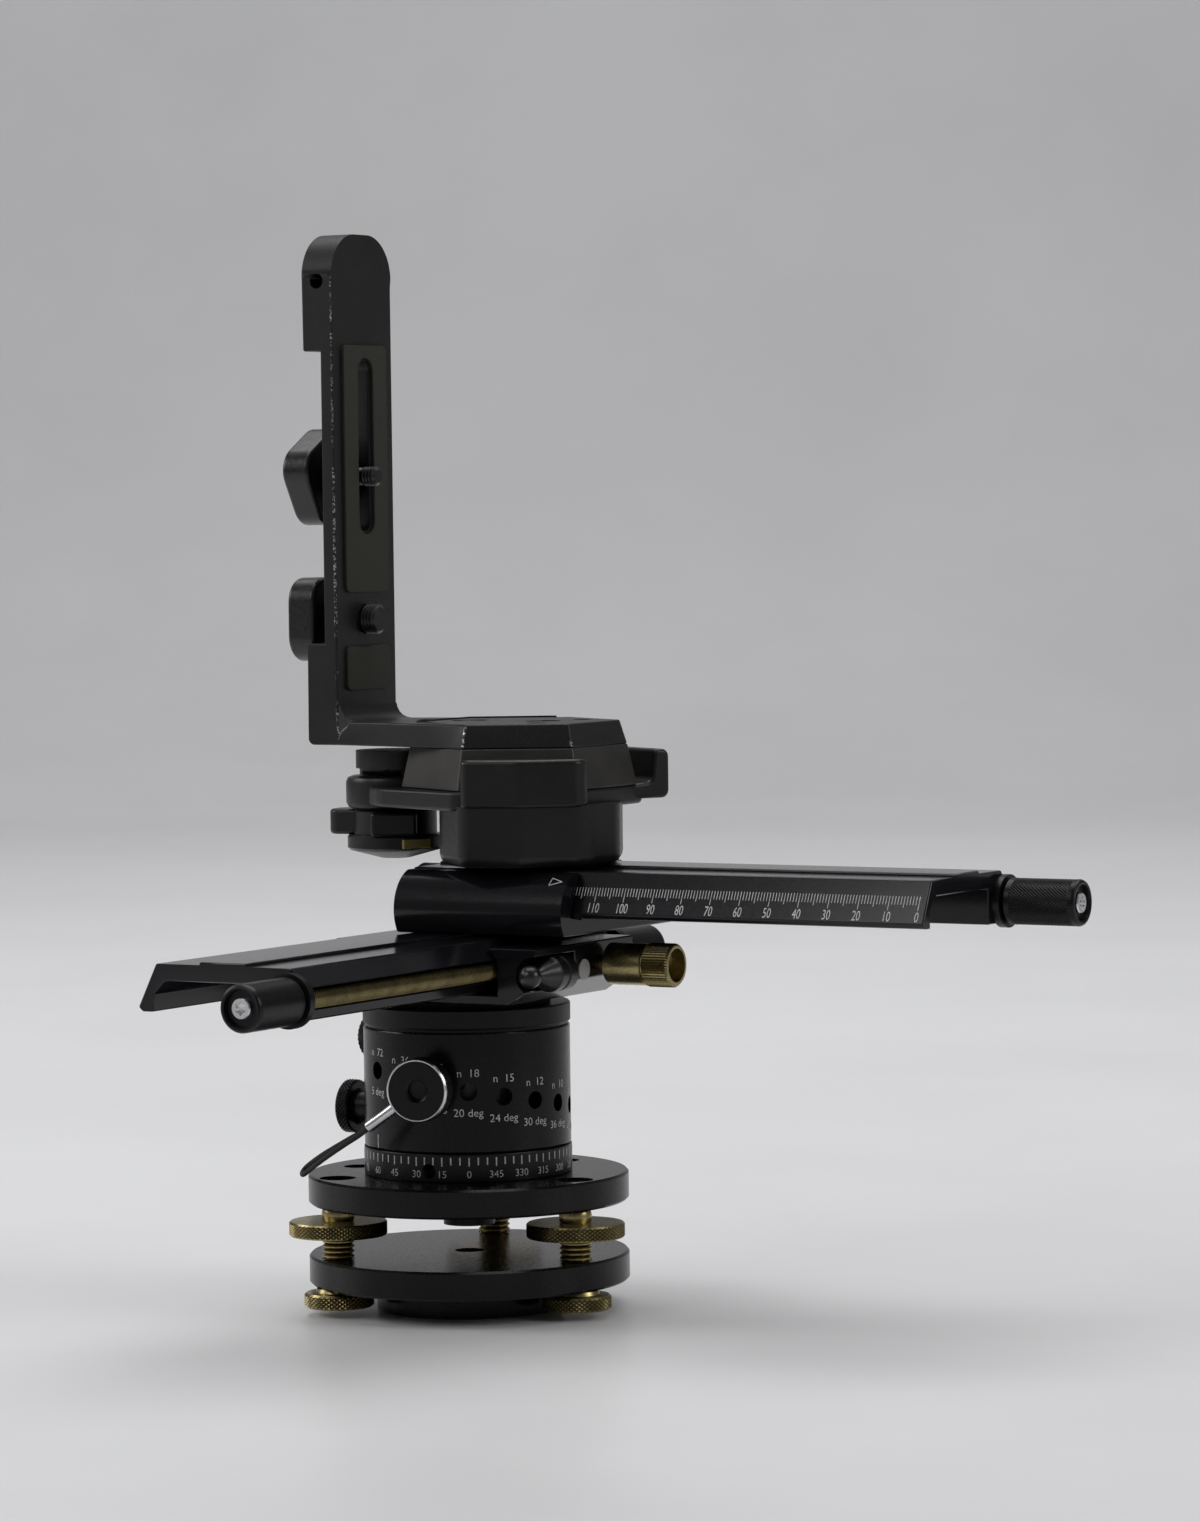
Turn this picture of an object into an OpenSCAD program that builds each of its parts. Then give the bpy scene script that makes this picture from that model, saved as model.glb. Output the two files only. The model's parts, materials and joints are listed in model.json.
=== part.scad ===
// Panoramic tripod head: a three-screw levelling base, a click-stop rotator, two crossed
// screw-driven slides, a hexagonal quick-release clamp and an upright camera bracket.
// Millimetres, +Z up. The origin is on the pan axis, at the underside of the base.

/* [Levelling base] */
// Diameter of both discs
disc_d = 100; // [92:1:112]
// Thickness of each disc
disc_t = 9; // [8:0.5:11]
// Chamfer on the rims of both discs
disc_chamfer = 0.7; // [0.4:0.1:1.2]
// Open height between the two discs
disc_gap = 16; // [15:0.5:20]
// Diameter of the round boss under the base disc
boss_d = 58; // [50:1:60]
// Height of that boss
boss_h = 8.5; // [8.5:0.5:12]
// Bore of the tripod socket, 3/8 inch
socket_d = 9.4; // [6:0.1:10]
// Distance from a disc's edge to the centre of each levelling screw
post_inset = 7; // [6.5:0.5:8]
// Thread diameter of the levelling screws
level_thread_d = 10; // [8:0.5:11]
// Diameter of the knurled levelling wheels
wheel_d = 30.5; // [24:0.5:34]
// Thickness of those wheels
wheel_t = 4.5; // [4:0.5:5]
// Diameter of the ball on top of each levelling screw
ball_d = 10.2; // [9:0.2:10.6]
// Diameter of the lock nuts under the base disc
nut_d = 21.7; // [16:0.1:22]

/* [Rotator] */
// Diameter of the rotator's body
rotator_d = 64.4; // [60:0.2:68]
// Height of the degree ring
ring_h = 8.8; // [7:0.2:11]
// Height of the rotator's body
body_h = 37; // [35:0.5:42]
// Thickness of the knurled top plate
top_t = 7; // [6.5:0.5:9]
// Wall of the rotator's body
body_wall = 4.9; // [4:0.1:6]
// Diameter of the threaded index holes
index_hole_d = 5.5; // [4.5:0.1:6]
// Drop in height from one index hole to the next
index_drop = 1.8; // [1.2:0.1:2]
// Diameter of the pull knob on the index plunger
plunger_knob_d = 19.6; // [15:0.2:22]
// Diameter of the two side lock knobs
side_knob_d = 17; // [14:0.5:20]
// Thickness of the rubber friction pad on the top plate
pad_t = 2.1; // [1:0.1:3]

/* [Slides] */
// Width across the flat top of a rail
rail_w = 47; // [44:0.5:52]
// Thickness of the rail's top plate
rail_plate = 5; // [4:0.25:6]
// Height from a carriage's underside to the top of its rail
slide_h = 20.5; // [20:0.25:23]
// Length of each carriage
carriage_len = 60; // [54:1:68]
// Diameter of the brass lead screws
lead_d = 6.3; // [5:0.1:6.5]
// Diameter of the lead-screw knobs
lead_knob_d = 14.2; // [12:0.2:15]
// Length of the lead-screw knobs
lead_knob_len = 24; // [18:1:30]
// Reach of the lower rail in front of the pan axis
lower_reach = 134.5; // [110:0.5:160]
// Length of the lower rail behind the pan axis
lower_tail = 45.5; // [42:0.5:60]
// Distance from a rail's rear end to the bolt that carries the piece above
rail_bolt_inset = 30; // [22:0.5:36]
// Spacing of the tapped holes along a carriage
carriage_hole_pitch = 17; // [15:0.5:18]
// Diameter of the brass slide lock knobs
lock_knob_d = 13.6; // [10:0.2:15]
// Length of the brass slide lock knobs
lock_knob_len = 23.5; // [18:0.5:30]

/* [Clamp] */
// Height of the clamp's body
clamp_h = 19; // [17:0.5:22]
// Thickness of the platform that the hexagonal plate lies on
platform_t = 4.4; // [3.5:0.1:6]
// Distance across the flats of the hexagonal plate, at its foot
hex_flats = 64; // [60:0.5:68]
// Height of the hexagonal plate
hex_h = 13; // [11:0.5:15]
// Inward lean of the plate's sides over their height
hex_lean = 2.5; // [2:0.25:3.5]
// Radius of the lever's round hub
hub_r = 15.2; // [13:0.2:16]

/* [Bracket] */
// Thickness of the bracket's foot
foot_t = 7.5; // [6:0.5:9]
// Distance from the plate's centre to the inner face of the upright arm
arm_reach = 56; // [52:1:64]
// Width of the upright arm
arm_w = 35; // [32:0.5:42]
// Thickness of the arm's web
arm_web_t = 4.5; // [4:0.25:6]
// Thickness of the arm's foot and head
arm_thick = 11; // [9:0.5:13]
// Height of the arm above the foot's underside
arm_h = 161; // [150:1:175]
// Height of the camera screw above the foot's underside
screw_h = 84.6; // [78:0.2:95]
// Width of the square knobs on the arm
arm_knob_w = 26.6; // [22:0.2:30]

/* [Hidden] */
$fn = 48;
run = 0.05;
press = 0.02;
gap = 0.3;
slide_gap = 0.4;
body_gap = 0.2;
skin = 0.01;
head_clear = 0.2;
far = 200;

// Heights, from the table up
base_top = boss_h + disc_t;
upper_low = base_top + disc_gap;
upper_top = upper_low + disc_t;
ring_top = upper_top + ring_h;
body_low = ring_top + body_gap;
body_top = body_low + body_h;
plate_top = body_top + top_t;
lower_z = plate_top + pad_t;
upper_z = lower_z + slide_h;
clamp_z = upper_z + slide_h;
platform_z = clamp_z + clamp_h;
hex_z = platform_z + platform_t;
foot_z = hex_z + hex_h;
arm_top = foot_z + arm_h;

// Levelling base
post_r = disc_d / 2 - post_inset;
post_angles = [-129, -9, 111];
spare_hole_r = post_r - 5;
spare_hole_turn = -43;
spare_hole_d = 9;
nut_low = 2.6;
nut_cone = 1.2;
nut_land = 1.5;
level_bore_r = level_thread_d / 2 + run + skin;
neck_h = 1.1;
neck_in = 1;
level_tail = 1.4;
wheel_top = upper_low - 4.1;
wheel_low = wheel_top - wheel_t;
wheel_chamfer = 1.2;
ball_z = upper_low - 2.3;
ball_roof = 0.3;
ball_hole_r = 3;
ball_cap_r = 5.7;
ball_cap_t = 3;
head_bolt_r = socket_d / 2;
head_bolt_head_r = 8;
head_bolt_head_h = 7.5;
head_bolt_grip = 8;

// Rotator. The front angle is the side that carries the zero of the degree ring
front_angle = -58;
index_step = 20;
index_count = 10;
index_first = front_angle - 3 * index_step;
rotator_r = rotator_d / 2;
ring_proud = 0.2;
drum_r = rotator_r - body_wall - gap;
web_t = 4.2;
web_low = body_top - web_t;
journal_r = 8;
drum_top = web_low - gap;
plunger_index = 2;
plunger_stops = 24;
index_z0 = body_low + 0.66 * body_h;
plunger_z = index_z0 - plunger_index * index_drop;
plunger_angle = index_first + plunger_index * index_step;
pin_r = 1.5;
pin_bite = 1.6;
stop_r = pin_r + 0.1;
barrel_r = 4.6;
barrel_len = 8;
barrel_wall = 1.6;
barrel_bore_r = 3.3;
plunger_collar_t = 1;
plunger_knob_t = 6.5;
plunger_chamfer = 0.7;
plunger_web = 2.4;
plunger_socket_r = 3;
plunger_socket_t = 2;
barrel_in = rotator_r + 0.2;
barrel_out = barrel_in + barrel_len;
plunger_knob_in = barrel_out - 0.5;
plunger_knob_out = plunger_knob_in + plunger_knob_t;
spring_wire = 0.6;
spring_r = 2.4;
spring_turns = 4;
retain_r = 11;
retain_head = 2;
retain_bolt_r = 3;
retain_gap = 0.1;
retain_len = 23;
retain_low = body_top - retain_len;
stud_r = 4.7;
stud_grip = 8;
pan_lock_angle = front_angle - 119;
pan_lock_z = body_low + 0.26 * body_h;
side_lock_angle = front_angle - 139;
side_lock_z = body_low + 0.83 * body_h;
side_stud_r = 2.5;
side_neck_r = 5;
side_neck_len = 6.5;
side_knob_t = 4.4;
side_chamfer = 1;
ring_screw_r = 2.25;
ring_screw_turn = -22.5;
top_neck_in = 1;
top_neck_h = 0.8;
top_chamfer = 0.5;
top_screw_r = 1.5;
top_screw_sink = 2.6;
top_screw_head_r = 2.75;
top_screw_circle = rotator_r - body_wall - 5;

// Tether on the plunger knob: a ferrule and a hairpin loop of cord
ferrule_r = 1.75;
ferrule_len = 11;
ferrule_down = 35;
cord_d = 1.6;
cord_sides = 8;
cord_route = [[0, 0, 0], [0, -0.6, 4], [-0.4, -1.6, 8], [-0.8, -3, 12], [-1.2, -4.8, 16], [-1.6, -7, 20],
    [-1.9, -9.4, 24], [-2.1, -11.6, 27], [-2.2, -13.2, 29.6]];
cord_spread = [0.85, 0.9, 0.95, 1.05, 1.15, 1.3, 1.45, 1.55, 1.35];
cord_tip = [-2.3, -14, 31];
tether_in = plunger_knob_in + plunger_knob_t / 2;

// Slide section: u runs across the rail towards its lead screw, w up from the carriage
band_h = 0.9;
band_half = 8;
rail_half = rail_w / 2;
rail_top = slide_h - band_h;
plate_low = rail_top - rail_plate;
leg_flare = 6.3;
leg_low = 5.4;
leg_bevel = 1.5;
leg_foot = 3.9;
leg_fillet = 4;
flare_out = 4.9;
flare_drop = 5.8;
flare_low = rail_top - flare_drop;
lead_u = rail_half + 0.5;
lead_w = flare_low - lead_d / 2 - 0.35;
screw_wall = 4.5;
screw_wall_u = lead_u - 5;
lip_top = lead_w - lead_d / 2 - 0.3;
lip_low = 3.6;
lip_u = rail_half - 0.5;
leg_inner = rail_half + leg_flare - leg_bevel - leg_foot;
guide_top = plate_low - slide_gap;
guide_left = -(leg_inner - slide_gap);
guide_right = screw_wall_u - screw_wall - slide_gap;
channel_half = 9;
channel_low = 8.4;
floor_left = leg_low - slide_gap;
floor_right = lip_low - slide_gap;
cheek_round = 12.8;
cheek_out = rail_half + leg_flare + 6.7;
cheek_w = 7;
cheek_top = rail_top - 0.5;
side_u = rail_half + flare_out + 1.1;
side_out = side_u + 13.5;
side_top = rail_top - 2;
side_bevel = 6.5;
side_foot = 10;
carriage_half = carriage_len / 2;
end_plate_t = 2.5;
end_clear = 0.5;
end_plate_r = 8.1;
journal_lead_r = 2.5;
knob_grip = 12;
knob_recess = 1.6;
knob_screw_r = 3.2;
knob_core_r = 1.45;
knob_socket_r = 1.4;
knob_wall = 1.8;
knob_chamfer = 0.8;
nut_half_len = 7;
nut_in_w = 2.8;
nut_reach = side_u + 0.6;
nut_travel = 2.2;
release_w = lead_w - 1;
release_u = side_out - 1;
release_r = 5.5;
release_in = 11;
release_out = 22;
release_stem_r = 2;
release_ball_r = 3.5;
release_travel = 4;
pivot_r = 3.25;
pivot_x = 0.9;
pivot_proud = 0.5;
pivot_depth = 4;
lock_x = -11.5;
lock_stud_r = 2.5;
lock_stud_show = 2.5;
lock_wall = 1.6;
lock_hollow = 5;
bolt_head_r = 8;
bolt_head_h = 4.5;
bolt_grip = 8;

// Where the slides stand. Both rails are cut to one length
rail_len = lower_reach + lower_tail;
lower_rail_end = lower_reach;
upper_y = lower_tail - rail_bolt_inset;
upper_x = carriage_hole_pitch;
upper_rail_end = rail_len - carriage_half - end_clear;
clamp_x = upper_x + upper_rail_end - rail_len + rail_bolt_inset;
clamp_y = upper_y;
hex_shift = -5.5;
hex_x = clamp_x + hex_shift;
hex_y = clamp_y;

// Clamp
hex_in = hex_flats / 2;
jaw_clear = 0.15;
jaw_w = 39;
jaw_out = 11.5;
jaw_root = hex_in - hex_lean - 2;
jaw_crest = 5.5;
jaw_step = 1.5;
nose_side = 5;
nose_tip = 9.5;
nose_angle = -60;
nose_shift = 2;
nose_step = 1;
jaw_top = foot_z - 3;
pivot_reach = 46;
lever_x = hex_x - pivot_reach;
lever_y = hex_y;
boss_r = 15.5;
boss_rise = 3;
cam_shift = 1.2;
cam_step = 2;
cam_low = hex_z + boss_rise + 0.4;
cam_top = foot_z - 2;
cam_touch = hex_in - hex_lean * (cam_low - hex_z) / hex_h;
cam_r = pivot_reach - cam_touch - cam_shift - jaw_clear;
pivot_boss_low = platform_z - 3;
lever_top = pivot_boss_low - gap;
lever_t = 8;
lever_low = lever_top - lever_t;
shaft_r = 4;
hub_step = 2;
handle_len = 50;
handle_w = 14;
tab_w = 12;
tab_show = 6;
lug_w = 14.6;
lug_show = 1;
handle_angle = 115;
tab_angle = 190;
lug_angle = -60;
catch_angle = -32;
catch_w = 9.5;
catch_h = 2.8;
catch_in = 9;
catch_show = 0.5;
catch_travel = 2;
bowl_low = lever_low - 4.7;
cone_low = bowl_low - 2.8;
catch_z = bowl_low + 0.8;
block_back = rail_half + 1;
block_right = 39;
block_left = -16;
block_bevel = 5;
flange_t = 1.5;
flange_in = 9;
flange_out = 8.5;

// Bracket
foot_in = hex_in - hex_lean;
arm_in = hex_x - arm_reach;
arm_mid = hex_y;
arm_foot_h = 32;
arm_head_h = 37;
arm_round = 14;
slot_r = 3.4;
slot_low = screw_h - 14;
slot_high = screw_h + 33;
screw_r = 3.1;
screw_show = 5.5;
screw_relief = 0.5;
shank_in = 0.2;
arm_knob_t = 10;
arm_knob_round = 7.8;
arm_knob_step = 0.8;
screw_turn = 30;
arm_neck_r = 5.5;
arm_neck_t = 5.2;
washer_t = 1.5;
washer_r = 7.5;
low_screw_h = 39.4;
low_screw_r = 4.7;
pad_strip_t = 1.2;
pad_strip_in = 5;
pad_gap_half = 8.5;
pad_low_h = 17;
pad_high_h = slot_high + slot_r + 5;
pad_slot_clear = 1;
foot_step = 0.1;
head_hole_r = 2.4;
head_hole_h = 146;
head_hole_deep = 12;
plate_screw_places = [-18, 9];
plate_screw_r = 3;
plate_screw_head_r = 5.5;
plate_screw_sink = 3.4;
plate_screw_len = 9;
plate_screw_low = foot_z - plate_screw_len;
foot_hole_r = 3;
foot_holes = [[-36, 4], [15, -14], [15, 14]];

BASE_NODES = ["base_disc", "upper_disc", "levelling_screw_left", "levelling_screw_right",
    "levelling_screw_back", "lock_nut_left", "lock_nut_right", "lock_nut_back", "head_bolt"];
ROTATOR_NODES = ["scale_ring", "index_drum", "rotator_body", "retaining_screw", "top_plate",
    "top_plate_screws", "carriage_stud", "friction_pad", "plunger_bush", "plunger_pin",
    "plunger_knob", "plunger_spring", "tether_ferrule", "tether_cord", "pan_lock_knob",
    "side_lock_knob"];
LOWER_NODES = ["lower_carriage", "lower_rail", "lower_end_plates", "lower_lead_screw",
    "lower_front_knob", "lower_rear_knob", "lower_knob_screws", "lower_half_nut",
    "lower_release_pin", "lower_pivot_pin", "lower_lock_knob", "lower_rail_bolt"];
UPPER_NODES = ["upper_carriage", "upper_rail", "upper_end_plates", "upper_lead_screw",
    "upper_front_knob", "upper_rear_knob", "upper_knob_screws", "upper_half_nut",
    "upper_release_pin", "upper_pivot_pin", "upper_lock_knob", "upper_rail_bolt"];
TOP_NODES = ["clamp_body", "clamp_lever", "clamp_cam", "safety_catch", "hex_plate",
    "l_bracket", "plate_screws", "arm_pads", "camera_screw", "camera_washer",
    "lower_arm_screw"];

// Shared shapes

// A cylinder from height z0 to z1
module drum(r, z0, z1) {
    translate([0, 0, z0]) cylinder(r = r, h = z1 - z0);
}

// A cone from radius r0 at height z0 to r1 at z1
module taper(r0, r1, z0, z1) {
    translate([0, 0, z0]) cylinder(r1 = r0, r2 = r1, h = z1 - z0);
}

// A wheel with chamfered rims between two heights
module wheel(r, z0, z1, c) {
    taper(r - c, r, z0, z0 + c);
    drum(r, z0 + c, z1 - c);
    taper(r, r - c, z1 - c, z1);
}

// Children drawn along +Z, laid to point outwards at an angle and a height
module radial(angle, z) {
    translate([0, 0, z]) rotate(angle) rotate([0, 90, 0]) children();
}

// A flat outline in (y, z), run along +X from x0 to x1
module along_x(x0, x1) {
    translate([x0, 0, 0]) rotate([90, 0, 90]) linear_extrude(x1 - x0) children();
}

// Children drawn along +Z, laid along +X through (y, z)
module bar_x(y, z) {
    translate([0, y, z]) rotate([0, 90, 0]) children();
}

// Children drawn along +Z, laid along +Y through (x, z)
module bar_y(x, z) {
    translate([x, 0, z]) rotate([-90, 0, 0]) children();
}

// Frames of the two slides: x along the rail to its front knob, y to its lead screw
module in_lower() {
    translate([0, 0, lower_z]) rotate(-90) children();
}

module in_upper() {
    translate([upper_x, upper_y, upper_z]) children();
}

function unit(v) = v / norm(v);
function along(p, i) = unit(p[min(i + 1, len(p) - 1)] - p[max(i - 1, 0)]);

// A round tube swept along a list of points, with flat ends
module tube(p, d, sides) {
    n = len(p);
    verts = [
        for (i = [0 : n - 1])
            let (t = along(p, i), a = unit(cross(t, [0.31, 0.17, 0.94])), b = cross(t, a))
            for (k = [0 : sides - 1])
                p[i] + d / 2 * (cos(360 * k / sides) * a + sin(360 * k / sides) * b)
    ];
    walls = [
        for (i = [0 : n - 2])
            for (k = [0 : sides - 1])
                let (s = i * sides, e = s + sides, m = (k + 1) % sides)
                for (f = [[s + k, e + k, e + m], [s + k, e + m, s + m]])
                    f
    ];
    first = [for (k = [1 : sides - 2]) [0, k, k + 1]];
    last = (n - 1) * sides;
    end = [for (k = [1 : sides - 2]) [last, last + k + 1, last + k]];
    polyhedron(points = verts, faces = concat(walls, first, end));
}

// Levelling base

module base_disc() {
    color("#26262a") difference() {
        union() {
            drum(boss_d / 2, 0, boss_h + skin);
            wheel(disc_d / 2, boss_h, base_top, disc_chamfer);
        }
        drum(socket_d / 2, -1, base_top + 1);
        for (a = post_angles)
            rotate(a) translate([post_r, 0, 0]) {
                drum(level_bore_r, boss_h - 1, base_top + 1);
                drum(nut_d / 2 + gap, -1, boss_h);
            }
    }
}

module upper_disc() {
    color("#26262a") difference() {
        wheel(disc_d / 2, upper_low, upper_top, disc_chamfer);
        drum(head_bolt_r + run, upper_low - 1, upper_top + 1);
        for (a = post_angles) {
            rotate(a) translate([post_r, 0, 0]) {
                drum(ball_hole_r, upper_low - 1, upper_top + 1);
                drum(ball_d / 2 + run, upper_low - 1, ball_z + ball_d / 2 + ball_roof);
                drum(ball_cap_r, upper_top - ball_cap_t, upper_top + 1);
            }
            rotate(a + spare_hole_turn) translate([spare_hole_r, 0, 0])
                drum(spare_hole_d / 2, upper_low - 1, upper_top + 1);
        }
    }
}

module levelling_screw(i) {
    color("#a08c50") rotate(post_angles[i]) translate([post_r, 0, 0]) {
        drum(level_thread_d / 2, nut_low + level_tail, wheel_low - neck_h);
        drum(level_thread_d / 2 - neck_in, wheel_low - neck_h - skin, wheel_low + skin);
        wheel(wheel_d / 2, wheel_low, wheel_top, wheel_chamfer);
        translate([0, 0, ball_z]) sphere(r = ball_d / 2);
    }
}

module levelling_screw_left() levelling_screw(0);
module levelling_screw_right() levelling_screw(1);
module levelling_screw_back() levelling_screw(2);

module lock_nut(i) {
    color("#a08c50") rotate(post_angles[i]) translate([post_r, 0, 0]) difference() {
        union() {
            wheel(nut_d / 2, nut_low, boss_h - nut_cone, wheel_chamfer / 2);
            taper(nut_d / 2 - wheel_chamfer, level_thread_d / 2 + nut_land, boss_h - nut_cone - skin,
                boss_h - run);
        }
        drum(level_bore_r, -1, boss_h + 1);
    }
}

module lock_nut_left() lock_nut(0);
module lock_nut_right() lock_nut(1);
module lock_nut_back() lock_nut(2);

module head_bolt() {
    color("#303035") {
        drum(head_bolt_head_r, upper_low - head_bolt_head_h, upper_low);
        drum(head_bolt_r, upper_low - skin, ring_top + head_bolt_grip);
    }
}

// Rotator

module scale_ring() {
    color("#242428") difference() {
        drum(rotator_r + ring_proud, upper_top, ring_top);
        drum(drum_r + press, upper_top - 1, ring_top + 1);
        radial(front_angle + ring_screw_turn, upper_top + 0.4 * ring_h) drum(ring_screw_r, drum_r, far);
    }
}

module index_drum() {
    color("#55555a") difference() {
        union() {
            drum(drum_r, upper_top, drum_top);
            drum(journal_r, drum_top - skin, body_top + retain_gap);
        }
        drum(head_bolt_r + run, upper_top - 1, ring_top + head_bolt_grip + 1);
        drum(retain_bolt_r + run, retain_low - 2, body_top + 1);
        for (i = [0 : plunger_stops - 1])
            radial(plunger_angle + i * 360 / plunger_stops, plunger_z)
                drum(stop_r, drum_r - pin_bite - 2 * gap, drum_r + 1);
    }
}

module rotator_body() {
    color("#242428") difference() {
        drum(rotator_r, body_low, body_top);
        drum(rotator_r - body_wall, body_low - 1, web_low);
        drum(journal_r + run, web_low - 1, body_top + 1);
        for (i = [0 : index_count - 1])
            radial(index_first + i * index_step, index_z0 - i * index_drop)
                drum(index_hole_d / 2, drum_r, far);
        radial(pan_lock_angle, pan_lock_z) drum(side_stud_r + run, drum_r, far);
        radial(side_lock_angle, side_lock_z) drum(side_stud_r + run, drum_r, far);
        for (i = [0 : 2])
            rotate(120 * i) translate([top_screw_circle, 0, 0])
                drum(top_screw_r + run, web_low - 1, body_top + 1);
    }
}

module retaining_screw() {
    color("#8a8a8e") {
        drum(retain_r, body_top + retain_gap, body_top + retain_gap + retain_head);
        drum(retain_bolt_r, retain_low, body_top + retain_gap + skin);
    }
}

module top_plate() {
    color("#28282c") difference() {
        union() {
            drum(rotator_r - top_neck_in, body_top, body_top + top_neck_h + skin);
            wheel(rotator_r + ring_proud, body_top + top_neck_h, plate_top, top_chamfer);
        }
        drum(retain_r + 2 * gap, body_top - 1, body_top + retain_head + 2 * gap);
        drum(stud_r + run, body_top, plate_top + 1);
        for (i = [0 : 2])
            rotate(120 * i) translate([top_screw_circle, 0, 0]) {
                drum(top_screw_r + run, body_top - 1, plate_top + 1);
                drum(top_screw_head_r + head_clear, plate_top - top_screw_sink, plate_top + 1);
            }
    }
}

module top_plate_screws() {
    color("#8a8a8e")
        for (i = [0 : 2])
            rotate(120 * i) translate([top_screw_circle, 0, 0]) {
                drum(top_screw_head_r, plate_top - top_screw_sink, plate_top - gap);
                drum(top_screw_r, web_low + gap, plate_top - top_screw_sink + skin);
            }
}

module carriage_stud() {
    color("#8a8a8e") drum(stud_r, body_top + retain_head + 1, lower_z + stud_grip);
}

module friction_pad() {
    color("#1c1c1e") difference() {
        drum(top_screw_circle + 4, plate_top, lower_z);
        drum(stud_r + 1, plate_top - 1, lower_z + 1);
    }
}

module plunger_bush() {
    color("#303034") radial(plunger_angle, plunger_z) difference() {
        union() {
            drum(index_hole_d / 2 - run, rotator_r - body_wall + 2 * gap, barrel_in + skin);
            drum(barrel_r, barrel_in, barrel_out);
        }
        drum(pin_r + run, 0, far);
        drum(barrel_bore_r, barrel_in + barrel_wall, barrel_out - barrel_wall);
    }
}

module plunger_pin() {
    color("#b8b8bc") radial(plunger_angle, plunger_z) {
        drum(pin_r, drum_r - pin_bite, plunger_knob_out - plunger_web);
        drum(barrel_bore_r - 0.3, barrel_in + barrel_wall + 0.1,
            barrel_in + barrel_wall + 0.1 + plunger_collar_t);
    }
}

module plunger_knob() {
    color("#2a2a2e") radial(plunger_angle, plunger_z) difference() {
        wheel(plunger_knob_d / 2, plunger_knob_in, plunger_knob_out, plunger_chamfer);
        drum(barrel_r + gap, plunger_knob_in - 1, barrel_out + 0.4);
        drum(pin_r + press, plunger_knob_in, plunger_knob_out - plunger_web);
        drum(plunger_socket_r, plunger_knob_out - plunger_socket_t, plunger_knob_out + 1);
    }
}

module plunger_spring() {
    low = barrel_in + barrel_wall + plunger_collar_t + 0.15 + spring_wire / 2;
    high = barrel_out - barrel_wall - 0.05 - spring_wire / 2;
    count = spring_turns * 8;
    route = [
        for (i = [0 : count])
            let (a = 360 * spring_turns * i / count)
            [spring_r * cos(a), spring_r * sin(a), low + (high - low) * i / count]
    ];
    color("#c0c0c4") radial(plunger_angle, plunger_z) tube(route, spring_wire, 6);
}

// Frame of the tether: +Z leaves the knob's rim, downwards and to the left
module in_tether() {
    radial(plunger_angle, plunger_z) translate([0, 0, tether_in])
        rotate(ferrule_down) rotate([90, 0, 0]) children();
}

module tether_ferrule() {
    color("#d0d0d4") in_tether()
        drum(ferrule_r, plunger_knob_d / 2 - 0.4, plunger_knob_d / 2 + ferrule_len);
}

module tether_cord() {
    start = plunger_knob_d / 2 + ferrule_len;
    last = len(cord_route) - 1;
    out = [for (i = [0 : last]) cord_route[i] + [cord_spread[i], 0, start]];
    back = [for (i = [last : -1 : 0]) cord_route[i] + [-cord_spread[i], 0, start]];
    color("#1a1a1c") in_tether() tube(concat(out, [cord_tip + [0, 0, start]], back), cord_d, cord_sides);
}

module side_knob(angle, z) {
    color("#2a2a2e") radial(angle, z) {
        drum(side_stud_r, rotator_r - body_wall + 0.1, rotator_r + 1);
        drum(side_neck_r, rotator_r + gap, rotator_r + gap + side_neck_len + skin);
        wheel(side_knob_d / 2, rotator_r + gap + side_neck_len,
            rotator_r + gap + side_neck_len + side_knob_t, side_chamfer);
    }
}

module pan_lock_knob() side_knob(pan_lock_angle, pan_lock_z);
module side_lock_knob() side_knob(side_lock_angle, side_lock_z);

// Slides

// Cross-section of a rail: flared leg, top plate with its raised band, screw groove
module rail_outline() {
    polygon([
        [-rail_half, rail_top], [-band_half, rail_top], [-band_half, slide_h], [band_half, slide_h],
        [band_half, rail_top], [rail_half, rail_top], [rail_half + flare_out, flare_low],
        [screw_wall_u, flare_low], [screw_wall_u, lip_top], [lip_u, lip_top], [lip_u, lip_low],
        [screw_wall_u - screw_wall, lip_low], [screw_wall_u - screw_wall, plate_low],
        [-leg_inner + leg_fillet, plate_low], [-leg_inner, plate_low - leg_fillet],
        [-leg_inner, leg_low], [-leg_inner - leg_foot, leg_low],
        [-rail_half - leg_flare, leg_low + leg_bevel]
    ]);
}

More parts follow.
